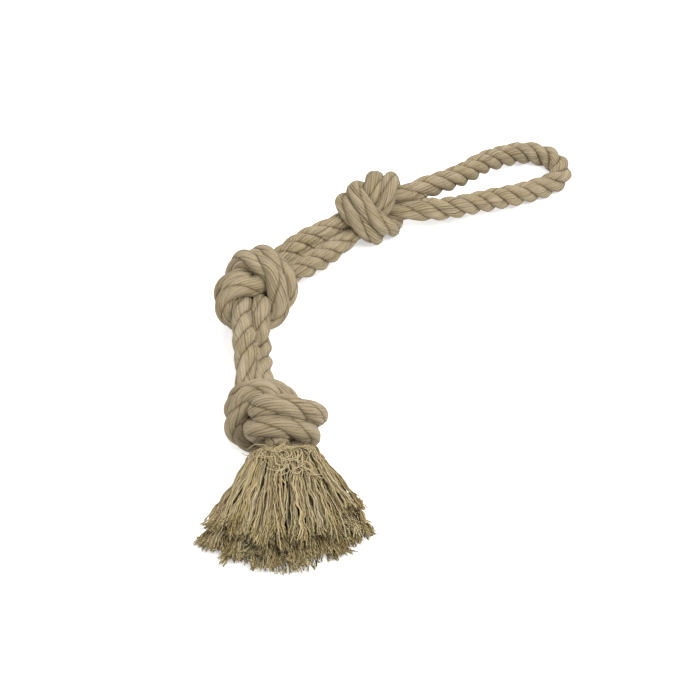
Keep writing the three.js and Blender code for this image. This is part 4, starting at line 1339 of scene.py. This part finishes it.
class ROPETOY_OT_stage(bpy.types.Operator):
    """Sets up the camera, the pale floor and the soft light"""

    bl_idname = "ropetoy.stage"
    bl_label = "Stage"

    def execute(self, context):
        values = toy_settings()[2]
        context.scene.view_settings.view_transform = "Standard"
        self.camera(context, values)
        self.floor(values)
        self.lights(context, values)
        return {"FINISHED"}

    @staticmethod
    def camera(context, values):
        """Aims the camera so that the middle knot lies where the photo has it."""
        target = Vector(KNOT_CENTRE)
        back = Vector((0, -math.cos(values.elevation), math.sin(values.elevation)))
        right = Vector((1, 0, 0))
        up = back.cross(right)
        focal = values.distance / values.pixel
        aside = math.atan((PHOTO_SIDE / 2 - KNOT_PIXEL[0]) / focal)
        above = math.atan((PHOTO_SIDE / 2 - KNOT_PIXEL[1]) / focal)
        turn = Matrix.Rotation(-aside, 3, up) @ Matrix.Rotation(-above, 3, right)
        axes = Matrix((right, up, back)).transposed()
        data = bpy.data.cameras.new("camera")
        data.sensor_width = SENSOR
        data.lens = SENSOR * focal / PHOTO_SIDE
        data.clip_end = 100
        camera = bpy.data.objects.new("camera", data)
        camera.matrix_world = Matrix.LocRotScale(
            target + back * values.distance, (turn @ axes).to_quaternion(), None
        )
        context.scene.collection.objects.link(camera)
        context.scene.camera = camera

    @staticmethod
    def floor(values):
        corners = FLOOR_REACH * np.array([(-1, -1), (1, -1), (1, 1), (-1, 1)])
        floor = new_mesh("floor", [(*corner, -0.1 * MM) for corner in corners], [(0, 1, 2, 3)])
        material, shader = new_material("pale_floor")
        seen = background_rays(shader)
        matt = shader.node("ShaderNodeBsdfDiffuse", {}, {"Color": colour4(values.floor)})
        glow = shader.node(
            "ShaderNodeEmission", {}, {"Color": (1, 1, 1, 1), "Strength": seen * FLOOR_GLOW}
        )
        both = shader.node("ShaderNodeAddShader", {}, {0: matt, 1: glow})
        shader.node("ShaderNodeOutputMaterial", {}, {"Surface": both})
        floor.data.materials.append(material)

    @staticmethod
    def lights(context, values):
        world = bpy.data.worlds.new("studio")
        context.scene.world = world
        world.use_nodes = True
        world.node_tree.nodes.clear()
        shader = Shader(world.node_tree)
        seen = background_rays(shader)
        strength = seen * (1 - values.sky) + values.sky
        sky = shader.node("ShaderNodeBackground", {}, {"Color": (1, 1, 1, 1), "Strength": strength})
        shader.node("ShaderNodeOutputWorld", {}, {"Surface": sky})
        for name, place, size, share in LAMPS:
            data = bpy.data.lights.new(name, "AREA")
            data.shape = "DISK"
            data.size = size
            data.energy = values.lamp * share
            lamp = bpy.data.objects.new(name, data)
            lamp.location = place
            lamp.rotation_mode = "QUATERNION"
            lamp.rotation_quaternion = (-Vector(place)).to_track_quat("-Z", "Y")
            context.scene.collection.objects.link(lamp)


# Panel and registration


class ROPETOY_PT_panel(bpy.types.Panel):
    """Lists the toy's operators in the 3D view's sidebar"""

    bl_idname = "ROPETOY_PT_panel"
    bl_label = "Rope toy"
    bl_space_type = "VIEW_3D"
    bl_region_type = "UI"
    bl_category = "Rope toy"

    def draw(self, context):
        operators = ("ropetoy.rope", "ropetoy.tassel", "ropetoy.stage")
        for (group, kind), operator in zip(GROUPS.items(), operators):
            box = self.layout.box()
            for name in kind.__annotations__:
                box.prop(getattr(context.scene, group), name)
            box.operator(operator)


CLASSES = (
    RopeSettings,
    TasselSettings,
    StageSettings,
    ROPETOY_OT_rope,
    ROPETOY_OT_tassel,
    ROPETOY_OT_stage,
    ROPETOY_PT_panel,
)
GROUPS = {
    "rope_toy_rope": RopeSettings,
    "rope_toy_tassel": TasselSettings,
    "rope_toy_stage": StageSettings,
}


def register():
    for item in CLASSES:
        bpy.utils.register_class(item)
    for name, group in GROUPS.items():
        setattr(bpy.types.Scene, name, bpy.props.PointerProperty(type=group))


def unregister():
    for name in GROUPS:
        delattr(bpy.types.Scene, name)
    for item in reversed(CLASSES):
        bpy.utils.unregister_class(item)


def main():
    register()
    bpy.ops.ropetoy.rope()
    bpy.ops.ropetoy.tassel()
    bpy.ops.ropetoy.stage()


if __name__ == "__main__":
    main()
